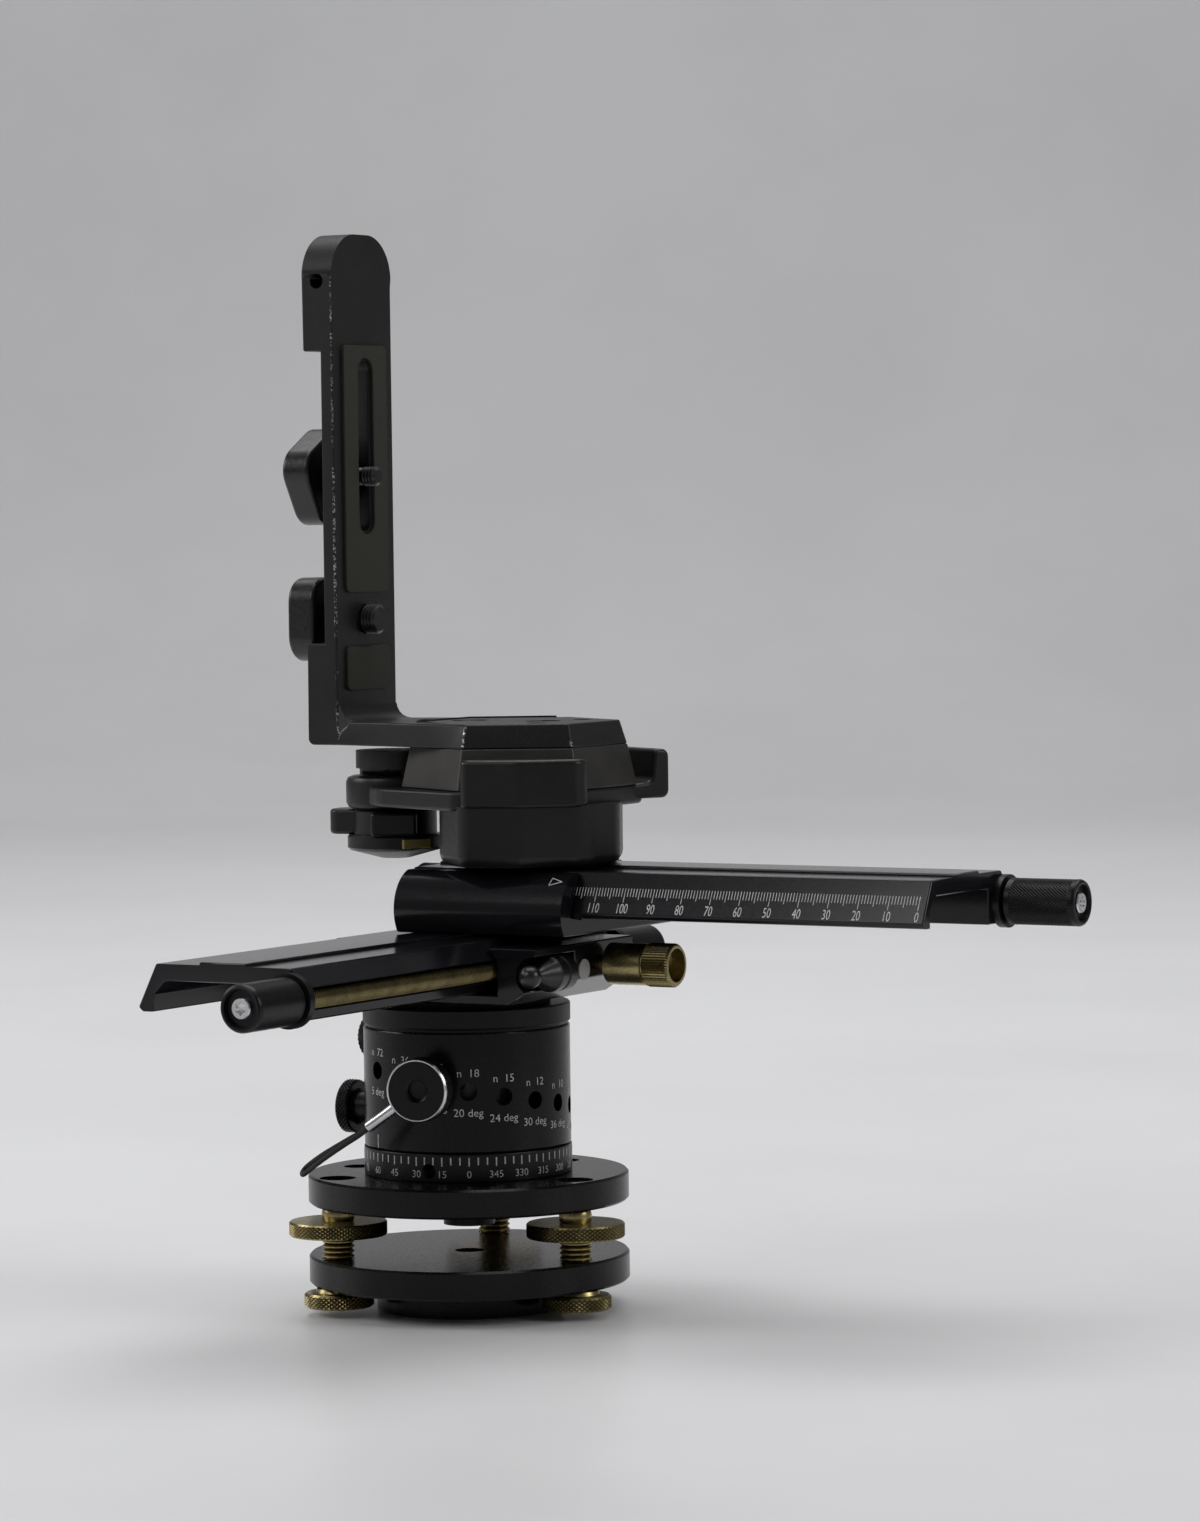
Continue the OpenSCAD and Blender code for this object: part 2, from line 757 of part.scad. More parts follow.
// Cross-section of a carriage: floor, guide ribs, round-backed cheek, fitting cheek
module carriage_outline() {
    slope = leg_flare / (rail_top - leg_low - leg_bevel);
    cheek_in = rail_half + slide_gap + run;
    flare_slope = flare_out / flare_drop;
    difference() {
        union() {
            intersection() {
                translate([-cheek_out + cheek_round, cheek_w]) circle(r = cheek_round);
                translate([-cheek_out - 1, 0]) square([cheek_round + 1, cheek_top]);
            }
            translate([-cheek_out + cheek_round - 1, 0])
                square([cheek_out - cheek_round + 1 + side_u, floor_left]);
        }
        polygon([
            [-cheek_in + slope, rail_top + 1], [-cheek_in - leg_flare, leg_low + leg_bevel],
            [-cheek_in - leg_flare, floor_left], [0, floor_left], [0, rail_top + 1]
        ]);
        translate([guide_right, floor_right]) square([side_u - guide_right + 1, rail_top]);
    }
    polygon([
        [guide_left, 0], [-channel_half, 0], [-channel_half, guide_top],
        [guide_left + leg_fillet, guide_top], [guide_left, guide_top - leg_fillet]
    ]);
    translate([channel_half, 0]) square([guide_right - channel_half, guide_top]);
    translate([-channel_half - skin, 0]) square([2 * channel_half + 2 * skin, channel_low]);
    polygon([
        [side_u - skin, 0], [side_out - side_foot, 0], [side_out, side_bevel], [side_out, side_top],
        [side_u - flare_slope * (side_top - flare_low) + 0.2, side_top], [side_u, flare_low],
        [side_u, floor_right]
    ]);
}

module carriage() {
    color("#2a2a30") difference() {
        along_x(-carriage_half, carriage_half) carriage_outline();
        for (x = [-1, 0, 1])
            translate([x * carriage_hole_pitch, 0, 0]) drum(stud_r + run, -1, channel_low + 1);
        translate([-nut_half_len - gap, side_u - 1, lead_w - nut_in_w - gap])
            cube([2 * (nut_half_len + gap), nut_reach - side_u + nut_travel + 2, 2 * (nut_in_w + gap)]);
        bar_x(release_u, release_w) drum(release_r + gap, release_in - release_travel - 1, far);
        translate([release_in - release_travel - 1, release_u, release_w - release_r - gap])
            cube([far, far, 2 * (release_r + gap)]);
        bar_y(pivot_x, release_w) drum(pivot_r, side_out - pivot_depth, far);
        bar_y(lock_x, lead_w) drum(lock_stud_r + run, side_u - 1, far);
    }
}

// The rail lies with its front end at a given place along the slide
module rail(front) {
    color("#2a2a30") difference() {
        along_x(front - rail_len, front) rail_outline();
        translate([front - rail_len + rail_bolt_inset, 0, 0])
            drum(stud_r + run, plate_low - 1, slide_h + 1);
    }
}

module end_plates(front) {
    color("#303036")
        for (x = [front, front - rail_len - end_plate_t])
            bar_x(lead_u, lead_w) difference() {
                drum(end_plate_r, x, x + end_plate_t);
                drum(journal_lead_r + run, x - 1, x + end_plate_t + 1);
            }
}

module lead_screw(front) {
    reach = end_plate_t + gap + knob_grip;
    color("#8c7a48") bar_x(lead_u, lead_w) {
        drum(lead_d / 2, front - rail_len + gap, front - gap);
        drum(journal_lead_r, front - rail_len - reach, front + reach);
    }
}

// A lead-screw knob with its first face at x, pointing to the front
module lead_knob(x) {
    color("#2c2c30") bar_x(lead_u, lead_w) difference() {
        wheel(lead_knob_d / 2, x, x + lead_knob_len, knob_chamfer);
        drum(journal_lead_r + press, x - 1, x + knob_grip);
        drum(knob_core_r + run, x, x + lead_knob_len);
        drum(lead_knob_d / 2 - knob_wall, x + lead_knob_len - knob_recess, x + lead_knob_len + 1);
    }
}

function knob_face(front) = front + end_plate_t + gap;

module front_knob(front) lead_knob(knob_face(front));

// The rear knob is the front one turned end for end about the rail's middle
module turned(front) {
    translate([2 * front - rail_len, 2 * lead_u, 0]) rotate(180) children();
}

module rear_knob(front) turned(front) lead_knob(knob_face(front));

module knob_screw(front) {
    seat = knob_face(front) + lead_knob_len - knob_recess;
    bar_x(lead_u, lead_w) difference() {
        union() {
            drum(knob_screw_r, seat, seat + knob_recess - gap);
            drum(knob_core_r, knob_face(front) + knob_grip + 0.2, seat + skin);
        }
        drum(knob_socket_r, seat + gap, seat + knob_recess);
    }
}

module knob_screws(front) {
    color("#d8d8dc") {
        knob_screw(front);
        turned(front) knob_screw(front);
    }
}

module half_nut() {
    color("#9a8850") difference() {
        translate([-nut_half_len, lead_u, lead_w - nut_in_w])
            cube([2 * nut_half_len, nut_reach - lead_u, 2 * nut_in_w]);
        bar_x(lead_u, lead_w) drum(lead_d / 2 + 0.1, -nut_half_len - 1, nut_half_len + 1);
    }
}

module release_pin() {
    color("#1e1e20") bar_x(release_u, release_w) {
        drum(release_r, release_in, release_out);
        drum(release_stem_r, release_out - skin, carriage_half + 1);
        translate([0, 0, carriage_half + 1]) sphere(r = release_ball_r);
    }
}

module pivot_pin() {
    color("#d8d8dc") bar_y(pivot_x, release_w)
        drum(pivot_r - press, side_out - pivot_depth, side_out + pivot_proud);
}

module lock_knob() {
    root = side_out + lock_stud_show;
    color("#b09a58") bar_y(lock_x, lead_w) difference() {
        union() {
            drum(lock_stud_r, lead_u + lead_d / 2 + 0.3, root + skin);
            wheel(lock_knob_d / 2, root, root + lock_knob_len, knob_chamfer);
        }
        drum(lock_knob_d / 2 - lock_wall, root + lock_knob_len - lock_hollow,
            root + lock_knob_len + 1);
    }
}

// Bolt through a rail's top plate into the piece that it carries
module rail_bolt(front) {
    color("#8a8a8e") translate([front - rail_len + rail_bolt_inset, 0, 0]) {
        drum(bolt_head_r, plate_low - bolt_head_h, plate_low);
        drum(stud_r, plate_low - skin, slide_h + bolt_grip);
    }
}

module lower_carriage() in_lower() carriage();
module lower_rail() in_lower() rail(lower_rail_end);
module lower_end_plates() in_lower() end_plates(lower_rail_end);
module lower_lead_screw() in_lower() lead_screw(lower_rail_end);
module lower_front_knob() in_lower() front_knob(lower_rail_end);
module lower_rear_knob() in_lower() rear_knob(lower_rail_end);
module lower_knob_screws() in_lower() knob_screws(lower_rail_end);
module lower_half_nut() in_lower() half_nut();
module lower_release_pin() in_lower() release_pin();
module lower_pivot_pin() in_lower() pivot_pin();
module lower_lock_knob() in_lower() lock_knob();
module lower_rail_bolt() in_lower() rail_bolt(lower_rail_end);
module upper_carriage() in_upper() carriage();
module upper_rail() in_upper() rail(upper_rail_end);
module upper_end_plates() in_upper() end_plates(upper_rail_end);
module upper_lead_screw() in_upper() lead_screw(upper_rail_end);
module upper_front_knob() in_upper() front_knob(upper_rail_end);
module upper_rear_knob() in_upper() rear_knob(upper_rail_end);
module upper_knob_screws() in_upper() knob_screws(upper_rail_end);
module upper_half_nut() in_upper() half_nut();
module upper_release_pin() in_upper() release_pin();
module upper_pivot_pin() in_upper() pivot_pin();
module upper_lock_knob() in_upper() lock_knob();
module upper_rail_bolt() in_upper() rail_bolt(upper_rail_end);

// Clamp and bracket

// A hexagonal block about the plate's axis, with flats towards +X and sides that lean in
module hex_block(low, high, r_low, r_high) {
    translate([hex_x, hex_y, low])
        intersection_for (a = [0, 60, 120])
            rotate(a) translate([0, far / 2, 0]) rotate([90, 0, 0]) linear_extrude(far)
                polygon([[-r_low, 0], [r_low, 0], [r_high, high - low], [-r_high, high - low]]);
}

// A jaw beside the plate's side at an angle, from its outline in (outwards, up)
module jaw(angle, wide) {
    translate([hex_x, hex_y, 0]) rotate(angle) translate([0, wide / 2, 0])
        rotate([90, 0, 0]) linear_extrude(wide) children();
}

// A point of the front jaw's frame, outwards and sideways, about the plate's axis
function nose_at(out, side) = [out * cos(nose_angle) - side * sin(nose_angle),
    out * sin(nose_angle) + side * cos(nose_angle)];

// The two facets of the front jaw's nose, or of the block under it, from left to right
function nose_front(step) = [nose_at(hex_in + nose_side - step, nose_shift - jaw_w / 2),
    nose_at(hex_in + nose_tip - step, nose_shift / 2),
    nose_at(hex_in + nose_side - step, nose_shift + jaw_w / 2)];

module jaw_nose() {
    translate([hex_x, hex_y, platform_z]) linear_extrude(jaw_top - platform_z)
        polygon(concat(nose_front(0),
            [nose_at(jaw_root, nose_shift + jaw_w / 2), nose_at(jaw_root, nose_shift - jaw_w / 2)]));
}

// The block that stands on the rail
module clamp_block() {
    translate([hex_x, hex_y, clamp_z]) linear_extrude(clamp_h + skin)
        polygon(concat(nose_front(nose_step), [
            [block_right, -block_bevel],
            [block_right - 2 * block_bevel, block_back - 2 * block_bevel],
            [block_right - 4 * block_bevel, block_back], [block_left + block_bevel, block_back],
            [block_left, block_back - 2 * block_bevel], [block_left, -block_back + block_bevel / 2],
            [block_left + block_bevel, -block_back - block_bevel]
        ]));
}

module clamp_body() {
    edge = platform_t + hex_lean;
    color("#2e2e32") difference() {
        union() {
            clamp_block();
            translate([hex_x, hex_y, platform_z - flange_t]) linear_extrude(platform_t + flange_t) polygon([
                [-pivot_reach, -boss_r - 1], [-pivot_reach + flange_in, -boss_r - flange_out],
                [0, -hex_in - edge],
                [hex_in, -hex_in / 2 - edge], [hex_in, hex_in / 2 + edge], [0, hex_in + edge],
                [-pivot_reach + flange_in, boss_r + flange_out], [-pivot_reach, boss_r + 1]
            ]);
            jaw_nose();
            jaw(60, jaw_w) polygon([
                [jaw_root, platform_z], [hex_in + jaw_out, platform_z],
                [hex_in + jaw_out, jaw_top + 1], [hex_in + jaw_out - jaw_crest, jaw_top + 1],
                [hex_in + jaw_out - jaw_crest - jaw_step, hex_z + jaw_step], [jaw_root, hex_z + jaw_step]
            ]);
            translate([lever_x, lever_y, 0]) drum(boss_r, pivot_boss_low, hex_z + boss_rise);
        }
        hex_block(hex_z, hex_z + hex_h, hex_in + jaw_clear, hex_in - hex_lean + jaw_clear);
        translate([lever_x, lever_y, 0]) drum(shaft_r + run, pivot_boss_low - 1, far);
        translate([clamp_x, clamp_y, clamp_z]) drum(stud_r + run, -1, bolt_grip + 1);
    }
}

module clamp_cam() {
    color("#3a3a3e") translate([lever_x, lever_y, 0]) {
        drum(shaft_r, lever_low, cam_low + skin);
        translate([cam_shift, 0, 0]) {
            drum(cam_r - cam_shift, cam_low, cam_low + cam_step);
            drum(cam_r, cam_low + cam_step - skin, cam_top);
        }
    }
}

// Frame of the safety catch: +X points out of the hub
module in_catch() {
    translate([lever_x, lever_y, catch_z]) rotate(catch_angle) children();
}

// A flat bar that leaves the lever's pivot at an angle
module lever_bar(angle, length, wide, thick) {
    rotate(angle) translate([0, -wide / 2, lever_low]) cube([length, wide, thick]);
}

module clamp_lever() {
    color("#2e2e32") difference() {
        translate([lever_x, lever_y, 0]) {
            drum(hub_r - hub_step, lever_low - skin, lever_top);
            drum(hub_r, bowl_low, lever_low);
            taper(hub_r * 0.3, hub_r, cone_low, bowl_low + skin);
            lever_bar(handle_angle, handle_len, handle_w, lever_t);
            lever_bar(tab_angle, hub_r + tab_show, tab_w, lever_t);
            lever_bar(lug_angle, hub_r + lug_show, lug_w, lever_t - lug_show / 2);
        }
        translate([lever_x, lever_y, 0]) drum(shaft_r + press, lever_low, lever_top + 1);
        in_catch() translate([catch_in - catch_travel - gap, -catch_w / 2 - gap, -gap])
            cube([far, catch_w + 2 * gap, catch_h + 2 * gap]);
    }
}

module safety_catch() {
    color("#b09a58") in_catch() translate([catch_in, -catch_w / 2, 0])
        cube([hub_r + catch_show - catch_in, catch_w, catch_h]);
}

module hex_plate() {
    color("#4a4844") difference() {
        hex_block(hex_z + 0.1, foot_z, hex_in, hex_in - hex_lean);
        for (x = plate_screw_places)
            translate([hex_x + x, hex_y, 0]) drum(plate_screw_r + run, plate_screw_low - 1, foot_z + 1);
    }
}

// A slot along Z through the arm
module arm_slot(low, high, r) {
    for (h = [low, high])
        bar_x(arm_mid, foot_z + h) drum(r, arm_in - arm_thick - 1, arm_in + pad_strip_t + 1);
    translate([arm_in - arm_thick - 1, arm_mid - r, foot_z + low])
        cube([arm_thick + pad_strip_t + 2, 2 * r, high - low]);
}

module arm_outline(low, high) {
    mid = arm_mid - arm_w / 2;
    translate([mid, foot_z + low]) square([arm_w, high - low]);
}

module l_bracket() {
    arm_out = arm_in - arm_thick;
    near = arm_mid - arm_w / 2;
    color("#242426") difference() {
        union() {
            hex_block(foot_z, foot_z + foot_t, foot_in, foot_in - 2);
            translate([0, 0, foot_z]) linear_extrude(foot_t - foot_step) polygon([
                [arm_out, near], [arm_in, near], [hex_x - 0.6 * arm_reach, near - 5],
                [hex_x - 0.3 * arm_reach, near - 10], [hex_x, hex_y - foot_in - 0.5],
                [hex_x, hex_y + foot_in + 0.5], [hex_x - 0.3 * arm_reach, near + arm_w + 10],
                [hex_x - 0.6 * arm_reach, near + arm_w + 5], [arm_in, near + arm_w],
                [arm_out, near + arm_w]
            ]);
            along_x(arm_out, arm_in) arm_outline(0, arm_foot_h);
            along_x(arm_in - arm_web_t, arm_in) arm_outline(arm_foot_h - 1, arm_h - arm_head_h + 1);
            along_x(arm_out, arm_in) {
                arm_outline(arm_h - arm_head_h, arm_h - arm_round);
                for (s = [-1, 1])
                    translate([arm_mid + s * (arm_w / 2 - arm_round), arm_top - arm_round])
                        circle(r = arm_round);
                translate([near + arm_round, arm_top - arm_round - 1])
                    square([arm_w - 2 * arm_round, arm_round + 1]);
            }
        }
        arm_slot(slot_low, slot_high, slot_r);
        bar_x(arm_mid, foot_z + low_screw_h) drum(low_screw_r + run, arm_out - 1, arm_in + 1);
        bar_y(arm_in - arm_thick / 2, foot_z + head_hole_h)
            drum(head_hole_r, near - 1, near + head_hole_deep);
        for (p = foot_holes)
            translate([hex_x + p[0], hex_y + p[1], 0]) drum(foot_hole_r, foot_z - 1, foot_z + foot_t + 1);
        for (x = plate_screw_places)
            translate([hex_x + x, hex_y, 0]) {
                drum(plate_screw_r + run, foot_z - 1, foot_z + foot_t + 1);
                drum(plate_screw_head_r + head_clear, foot_z + foot_t - plate_screw_sink,
                    foot_z + foot_t + 1);
            }
    }
}

module plate_screws() {
    color("#303034")
        for (x = plate_screw_places)
            translate([hex_x + x, hex_y, 0]) {
                drum(plate_screw_head_r, foot_z + foot_t - plate_screw_sink, foot_z + foot_t - gap);
                drum(plate_screw_r, plate_screw_low, foot_z + foot_t - plate_screw_sink + skin);
            }
}

module arm_pads() {
    wide = arm_w - 2 * pad_strip_in;
    color("#4c4838") difference() {
        translate([arm_in, arm_mid - wide / 2, foot_z]) {
            translate([0, 0, pad_low_h])
                cube([pad_strip_t, wide, low_screw_h - pad_gap_half - pad_low_h]);
            translate([0, 0, low_screw_h + pad_gap_half])
                cube([pad_strip_t, wide, pad_high_h - low_screw_h - pad_gap_half]);
        }
        arm_slot(slot_low, slot_high, slot_r + pad_slot_clear);
    }
}

// A square with round corners
module soft_square(wide, r) {
    half = wide / 2 - r;
    square([wide, 2 * half], center = true);
    square([2 * half, wide], center = true);
    for (x = [-half, half])
        for (y = [-half, half])
            translate([x, y]) circle(r = r);
}

// A square knob outside the arm on a screw that reaches through it
module arm_screw(h, r, washer, turn) {
    seat = arm_in - arm_web_t - washer - 0.1;
    face = arm_in - arm_web_t - washer_t - arm_neck_t;
    color("#26262a") bar_x(arm_mid, foot_z + h) {
        drum(r - shank_in, seat - 1, arm_in + screw_relief + skin);
        drum(r, arm_in + screw_relief, arm_in + screw_show);
        drum(arm_neck_r, face - skin, seat);
        translate([0, 0, face - arm_knob_t]) rotate(turn) {
            translate([0, 0, arm_knob_step]) linear_extrude(arm_knob_t - arm_knob_step)
                soft_square(arm_knob_w, arm_knob_round);
            linear_extrude(arm_knob_t / 2)
                soft_square(arm_knob_w - 2 * arm_knob_step, arm_knob_round - arm_knob_step);
        }
    }
}

module camera_screw() arm_screw(screw_h, screw_r, washer_t, screw_turn);
module lower_arm_screw() arm_screw(low_screw_h, low_screw_r, 0, 0);

module camera_washer() {
    color("#3a3a3e") bar_x(arm_mid, foot_z + screw_h) difference() {
        drum(washer_r, arm_in - arm_web_t - washer_t, arm_in - arm_web_t);
        drum(screw_r + run, arm_in - arm_web_t - washer_t - 1, arm_in);
    }
}

base_disc();
upper_disc();
levelling_screw_left();
levelling_screw_right();
levelling_screw_back();
lock_nut_left();
lock_nut_right();
lock_nut_back();
head_bolt();
scale_ring();
index_drum();
rotator_body();
retaining_screw();
top_plate();
top_plate_screws();
carriage_stud();
friction_pad();
plunger_bush();
plunger_pin();
plunger_knob();
plunger_spring();
tether_ferrule();
tether_cord();
pan_lock_knob();
side_lock_knob();
lower_carriage();
lower_rail();
lower_end_plates();
lower_lead_screw();
lower_front_knob();
lower_rear_knob();
lower_knob_screws();
lower_half_nut();
lower_release_pin();
lower_pivot_pin();
lower_lock_knob();
lower_rail_bolt();
upper_carriage();
upper_rail();
upper_end_plates();
upper_lead_screw();
upper_front_knob();
upper_rear_knob();
upper_knob_screws();
upper_half_nut();
upper_release_pin();
upper_pivot_pin();
upper_lock_knob();
upper_rail_bolt();
clamp_body();
clamp_lever();
clamp_cam();
safety_catch();
hex_plate();
l_bracket();
plate_screws();
arm_pads();
camera_screw();
camera_washer();
lower_arm_screw();
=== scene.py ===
"""Looks of a panoramic tripod head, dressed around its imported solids.

Every length is in metres in the frame of the solids: +Z runs up the pan axis, +X along the
upper rail to its front knob and -Y along the lower rail to its front knob. Angles are in degrees,
or in radians where a docstring says so.
"""

import json
import logging
import math
from dataclasses import dataclass, field
from enum import Enum
from typing import Callable, Sequence

import bmesh
import bpy
from bmesh.types import BMEdge, BMesh, BMFace, BMLayerItem, BMVert
from bpy.types import Material, Mesh, Node, NodeSocket, Object
from mathutils import Matrix, Vector


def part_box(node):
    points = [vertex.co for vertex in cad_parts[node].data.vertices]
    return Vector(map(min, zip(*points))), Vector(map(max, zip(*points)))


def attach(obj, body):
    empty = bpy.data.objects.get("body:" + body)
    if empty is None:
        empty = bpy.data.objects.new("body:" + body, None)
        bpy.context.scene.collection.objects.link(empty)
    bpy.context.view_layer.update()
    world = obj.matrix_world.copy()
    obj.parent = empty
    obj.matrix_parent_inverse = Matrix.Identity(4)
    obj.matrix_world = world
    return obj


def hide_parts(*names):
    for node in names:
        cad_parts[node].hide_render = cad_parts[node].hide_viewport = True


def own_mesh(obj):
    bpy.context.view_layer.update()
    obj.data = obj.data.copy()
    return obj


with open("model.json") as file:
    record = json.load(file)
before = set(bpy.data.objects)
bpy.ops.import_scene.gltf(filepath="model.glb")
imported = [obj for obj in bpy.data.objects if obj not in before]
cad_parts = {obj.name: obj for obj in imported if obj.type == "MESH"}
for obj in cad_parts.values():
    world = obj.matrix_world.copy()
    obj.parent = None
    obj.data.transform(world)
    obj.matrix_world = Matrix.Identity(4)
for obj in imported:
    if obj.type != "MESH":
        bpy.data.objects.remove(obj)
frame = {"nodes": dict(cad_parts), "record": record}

LOG = logging.getLogger("panoramic_head")
MM = 0.001
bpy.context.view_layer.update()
Place = Callable[[float, float, float], Vector]
Colour = tuple[float, float, float]
Outline = list[tuple[float, float]]
Corners = Sequence[tuple[float, float]]

# Distances below which points count as one, as on one surface, and as near it
HAIR = 0.001 * MM
TOUCH = 0.01 * MM
NEAR = 0.05 * MM

# Printed marks: half their thickness, their lift off the wall, a digit's share of the type size, how much
# thinner the type is than the font's, as a share of its size, and the steps along its curves
INK_HALF = 0.03 * MM
INK_LIFT = 0.01 * MM
DIGIT_SHARE = 0.72
TYPE_THINNING = 0.006
TYPE_STEPS = 3


class Knurl(Enum):
    """Ways that a turned grip is cut."""

    NONE = "plain"
    DIAMOND = "diamond"
    STRAIGHT = "straight"


# Finishes

# Sockets of a colour mix: its factor, its two colours and its result
MIX_FACTOR = 0
MIX_COLOURS = (6, 7)
MIX_RESULT = 2


class Graph:
    """A small helper around one material's node tree."""

    def __init__(self, name: str) -> None:
        """Start an empty material with a principled shader.

        Args:
            name: The material's name.
        """
        self.material = bpy.data.materials.new(name)
        self.material.use_nodes = True
        self.tree = self.material.node_tree
        self.shader = self.tree.nodes["Principled BSDF"]
        self.coords = self.tree.nodes.new("ShaderNodeTexCoord").outputs["Object"]

    def node(self, kind: str, **values: object) -> Node:
        """Add a node and set its inputs or properties by name.

        Args:
            kind: The node's type.
            **values: Input values and properties; spaces in names are underscores.

        Returns:
            The new node.
        """
        made = self.tree.nodes.new(kind)
        for key, value in values.items():
            socket = made.inputs.get(key.replace("_", " "))
            if socket is None:
                setattr(made, key, value)
            else:
                socket.default_value = value
        return made

    def link(self, source: NodeSocket, target: NodeSocket) -> None:
        """Join two sockets."""
        self.tree.links.new(source, target)

    def noise(self, scale: float, detail: float) -> NodeSocket:
        """Add a noise on object coordinates.

        Args:
            scale: Features to a metre.
            detail: Octaves of the noise.

        Returns:
            The noise's value, 0 to 1.
        """
        made = self.node("ShaderNodeTexNoise", Scale=scale, Detail=detail, Roughness=0.6)
        self.link(self.coords, made.inputs["Vector"])
        return made.outputs["Fac"]

    def ramp(self, value: NodeSocket, stops: Sequence[tuple[float, Colour]]) -> NodeSocket:
        """Turn a value into a colour.

        Args:
            value: The value to read.
            stops: Places and colours.

        Returns:
            The colour.
        """
        made = self.node("ShaderNodeValToRGB")
        points = made.color_ramp.elements
        while len(points) < len(stops):
            points.new(0.5)
        for point, (place, colour) in zip(points, stops):
            point.position = place
            point.color = (*colour, 1.0)
        self.link(value, made.inputs["Fac"])
        return made.outputs["Color"]

    def spread(self, value: NodeSocket, low: float, high: float,
               start: float = 0.3, end: float = 0.7) -> NodeSocket:
        """Map a value's middle range to a new one.

        Args:
            value: The value to read.
            low: Result at start.
            high: Result at end.
            start: Lower end of what is read.
            end: Upper end of what is read.

        Returns:
            The mapped value.
        """
        made = self.node("ShaderNodeMapRange", From_Min=start, From_Max=end, To_Min=low, To_Max=high)
        self.link(value, made.inputs["Value"])
        return made.outputs["Result"]

    def join(self, first: NodeSocket, second: NodeSocket, operation: str = "MULTIPLY") -> NodeSocket:
        """Work one value out of two.

        Args:
            first: A value.
            second: A value.
            operation: How they are joined.

        Returns:
            The result.
        """
        made = self.node("ShaderNodeMath", operation=operation)
        self.link(first, made.inputs[0])
        self.link(second, made.inputs[1])
        return made.outputs[0]

    def mix(self, factor: NodeSocket, first: NodeSocket | Colour,
            second: NodeSocket | Colour) -> NodeSocket:
        """Mix two colours by a factor.

        Args:
            factor: 0 gives the first colour, 1 the second.
            first: A colour or a colour socket.
            second: A colour or a colour socket.

        Returns:
            The mixed colour.
        """
        made = self.node("ShaderNodeMix", data_type="RGBA")
        self.link(factor, made.inputs[MIX_FACTOR])
        for index, part in zip(MIX_COLOURS, (first, second)):
            if isinstance(part, tuple):
                made.inputs[index].default_value = (*part, 1.0)
            else:
                self.link(part, made.inputs[index])
        return made.outputs[MIX_RESULT]

    def bump(self, height: NodeSocket, distance: float, strength: float) -> None:
        """Feed a height into the shader's normal.

        Args:
            height: The height, 0 to 1.
            distance: Depth in metres.
            strength: Share of the bump that shows.
        """
        made = self.node("ShaderNodeBump", Distance=distance, Strength=strength)
        self.link(height, made.inputs["Height"])
        self.link(made.outputs["Normal"], self.shader.inputs["Normal"])

    def set(self, **values: object) -> None:
        """Set plain shader inputs by name; spaces in names are underscores."""
        for key, value in values.items():
            self.shader.inputs[key.replace("_", " ")].default_value = value

    def drive(self, name: str, source: NodeSocket) -> None:
        """Link a socket to one of the shader's inputs."""
        self.link(source, self.shader.inputs[name])


@dataclass(frozen=True)
class MetalFinish:
    """A metal with fine grain, cloudy tone and soft gloss variation."""

    name: str
    dark: Colour
    light: Colour
    metallic: float
    gloss: tuple[float, float]
    grain: float = 1800.0
    grain_depth: float = 0.02 * MM
    grain_shown: float = 0.35
    cloud: float = 45.0
    specular: float = 0.5
    # Colour of the painted shade, with some patina, in the bottoms of knurls and threads
    shade_patina: Colour = (0.003, 0.003, 0.003)

    def build(self) -> Material:
        """Make the material; the attribute of the bottoms of knurls and threads darkens them with painted
        shade and some patina.

        Returns:
            The finished material.
        """
        graph = Graph(self.name)
        cloud = graph.noise(self.cloud, 4.0)
        fine = graph.noise(self.grain, 2.0)
        tone = graph.ramp(cloud, ((0.3, self.dark), (0.72, self.light)))
        # Painted shade, with some patina: the marked bottoms of knurls and threads are mixed towards a darker
        # colour
        shade_and_patina = graph.node("ShaderNodeAttribute", attribute_name="shade_and_patina").outputs["Fac"]
        graph.drive("Base Color", graph.mix(shade_and_patina, tone, self.shade_patina))
        graph.drive("Roughness", graph.spread(fine, *self.gloss))
        graph.set(Metallic=self.metallic, Specular_IOR_Level=self.specular)
        graph.bump(fine, self.grain_depth, self.grain_shown)
        return graph.material


@dataclass(frozen=True)
class PaintFinish:
    """Textured paint that is worn to bright metal along its edges."""

    name: str
    dark: Colour
    light: Colour
    metal: Colour
    gloss: tuple[float, float]
    grain: float = 1500.0
    grain_depth: float = 0.09 * MM
    grain_shown: float = 0.6
    cloud: float = 60.0
    chip: float = 1100.0
    chip_range: tuple[float, float] = (0.5, 0.58)
    chips_to_group: float = 9.0
    group_range: tuple[float, float] = (0.42, 0.56)
    specular: float = 0.36

    def build(self) -> Material:
        """Make the material; the wear attribute marks the edges.

        Returns:
            The finished material.
        """
        graph = Graph(self.name)
        cloud = graph.noise(self.cloud, 4.0)
        fine = graph.noise(self.grain, 3.0)
        paint = graph.ramp(cloud, ((0.3, self.dark), (0.7, self.light)))
        wear = graph.node("ShaderNodeAttribute", attribute_name="wear").outputs["Fac"]
        chips = graph.spread(graph.noise(self.chip, 4.0), 0.0, 1.0, *self.chip_range)
        groups = graph.spread(graph.noise(self.chip / self.chips_to_group, 2.0), 0.0, 1.0, *self.group_range)
        worn = graph.join(wear, graph.join(chips, groups))
        graph.drive("Base Color", graph.mix(worn, paint, self.metal))
        graph.drive("Metallic", worn)
        graph.set(Specular_IOR_Level=self.specular)
        graph.drive("Roughness", graph.spread(fine, *self.gloss))
        graph.bump(fine, self.grain_depth, self.grain_shown)
        return graph.material


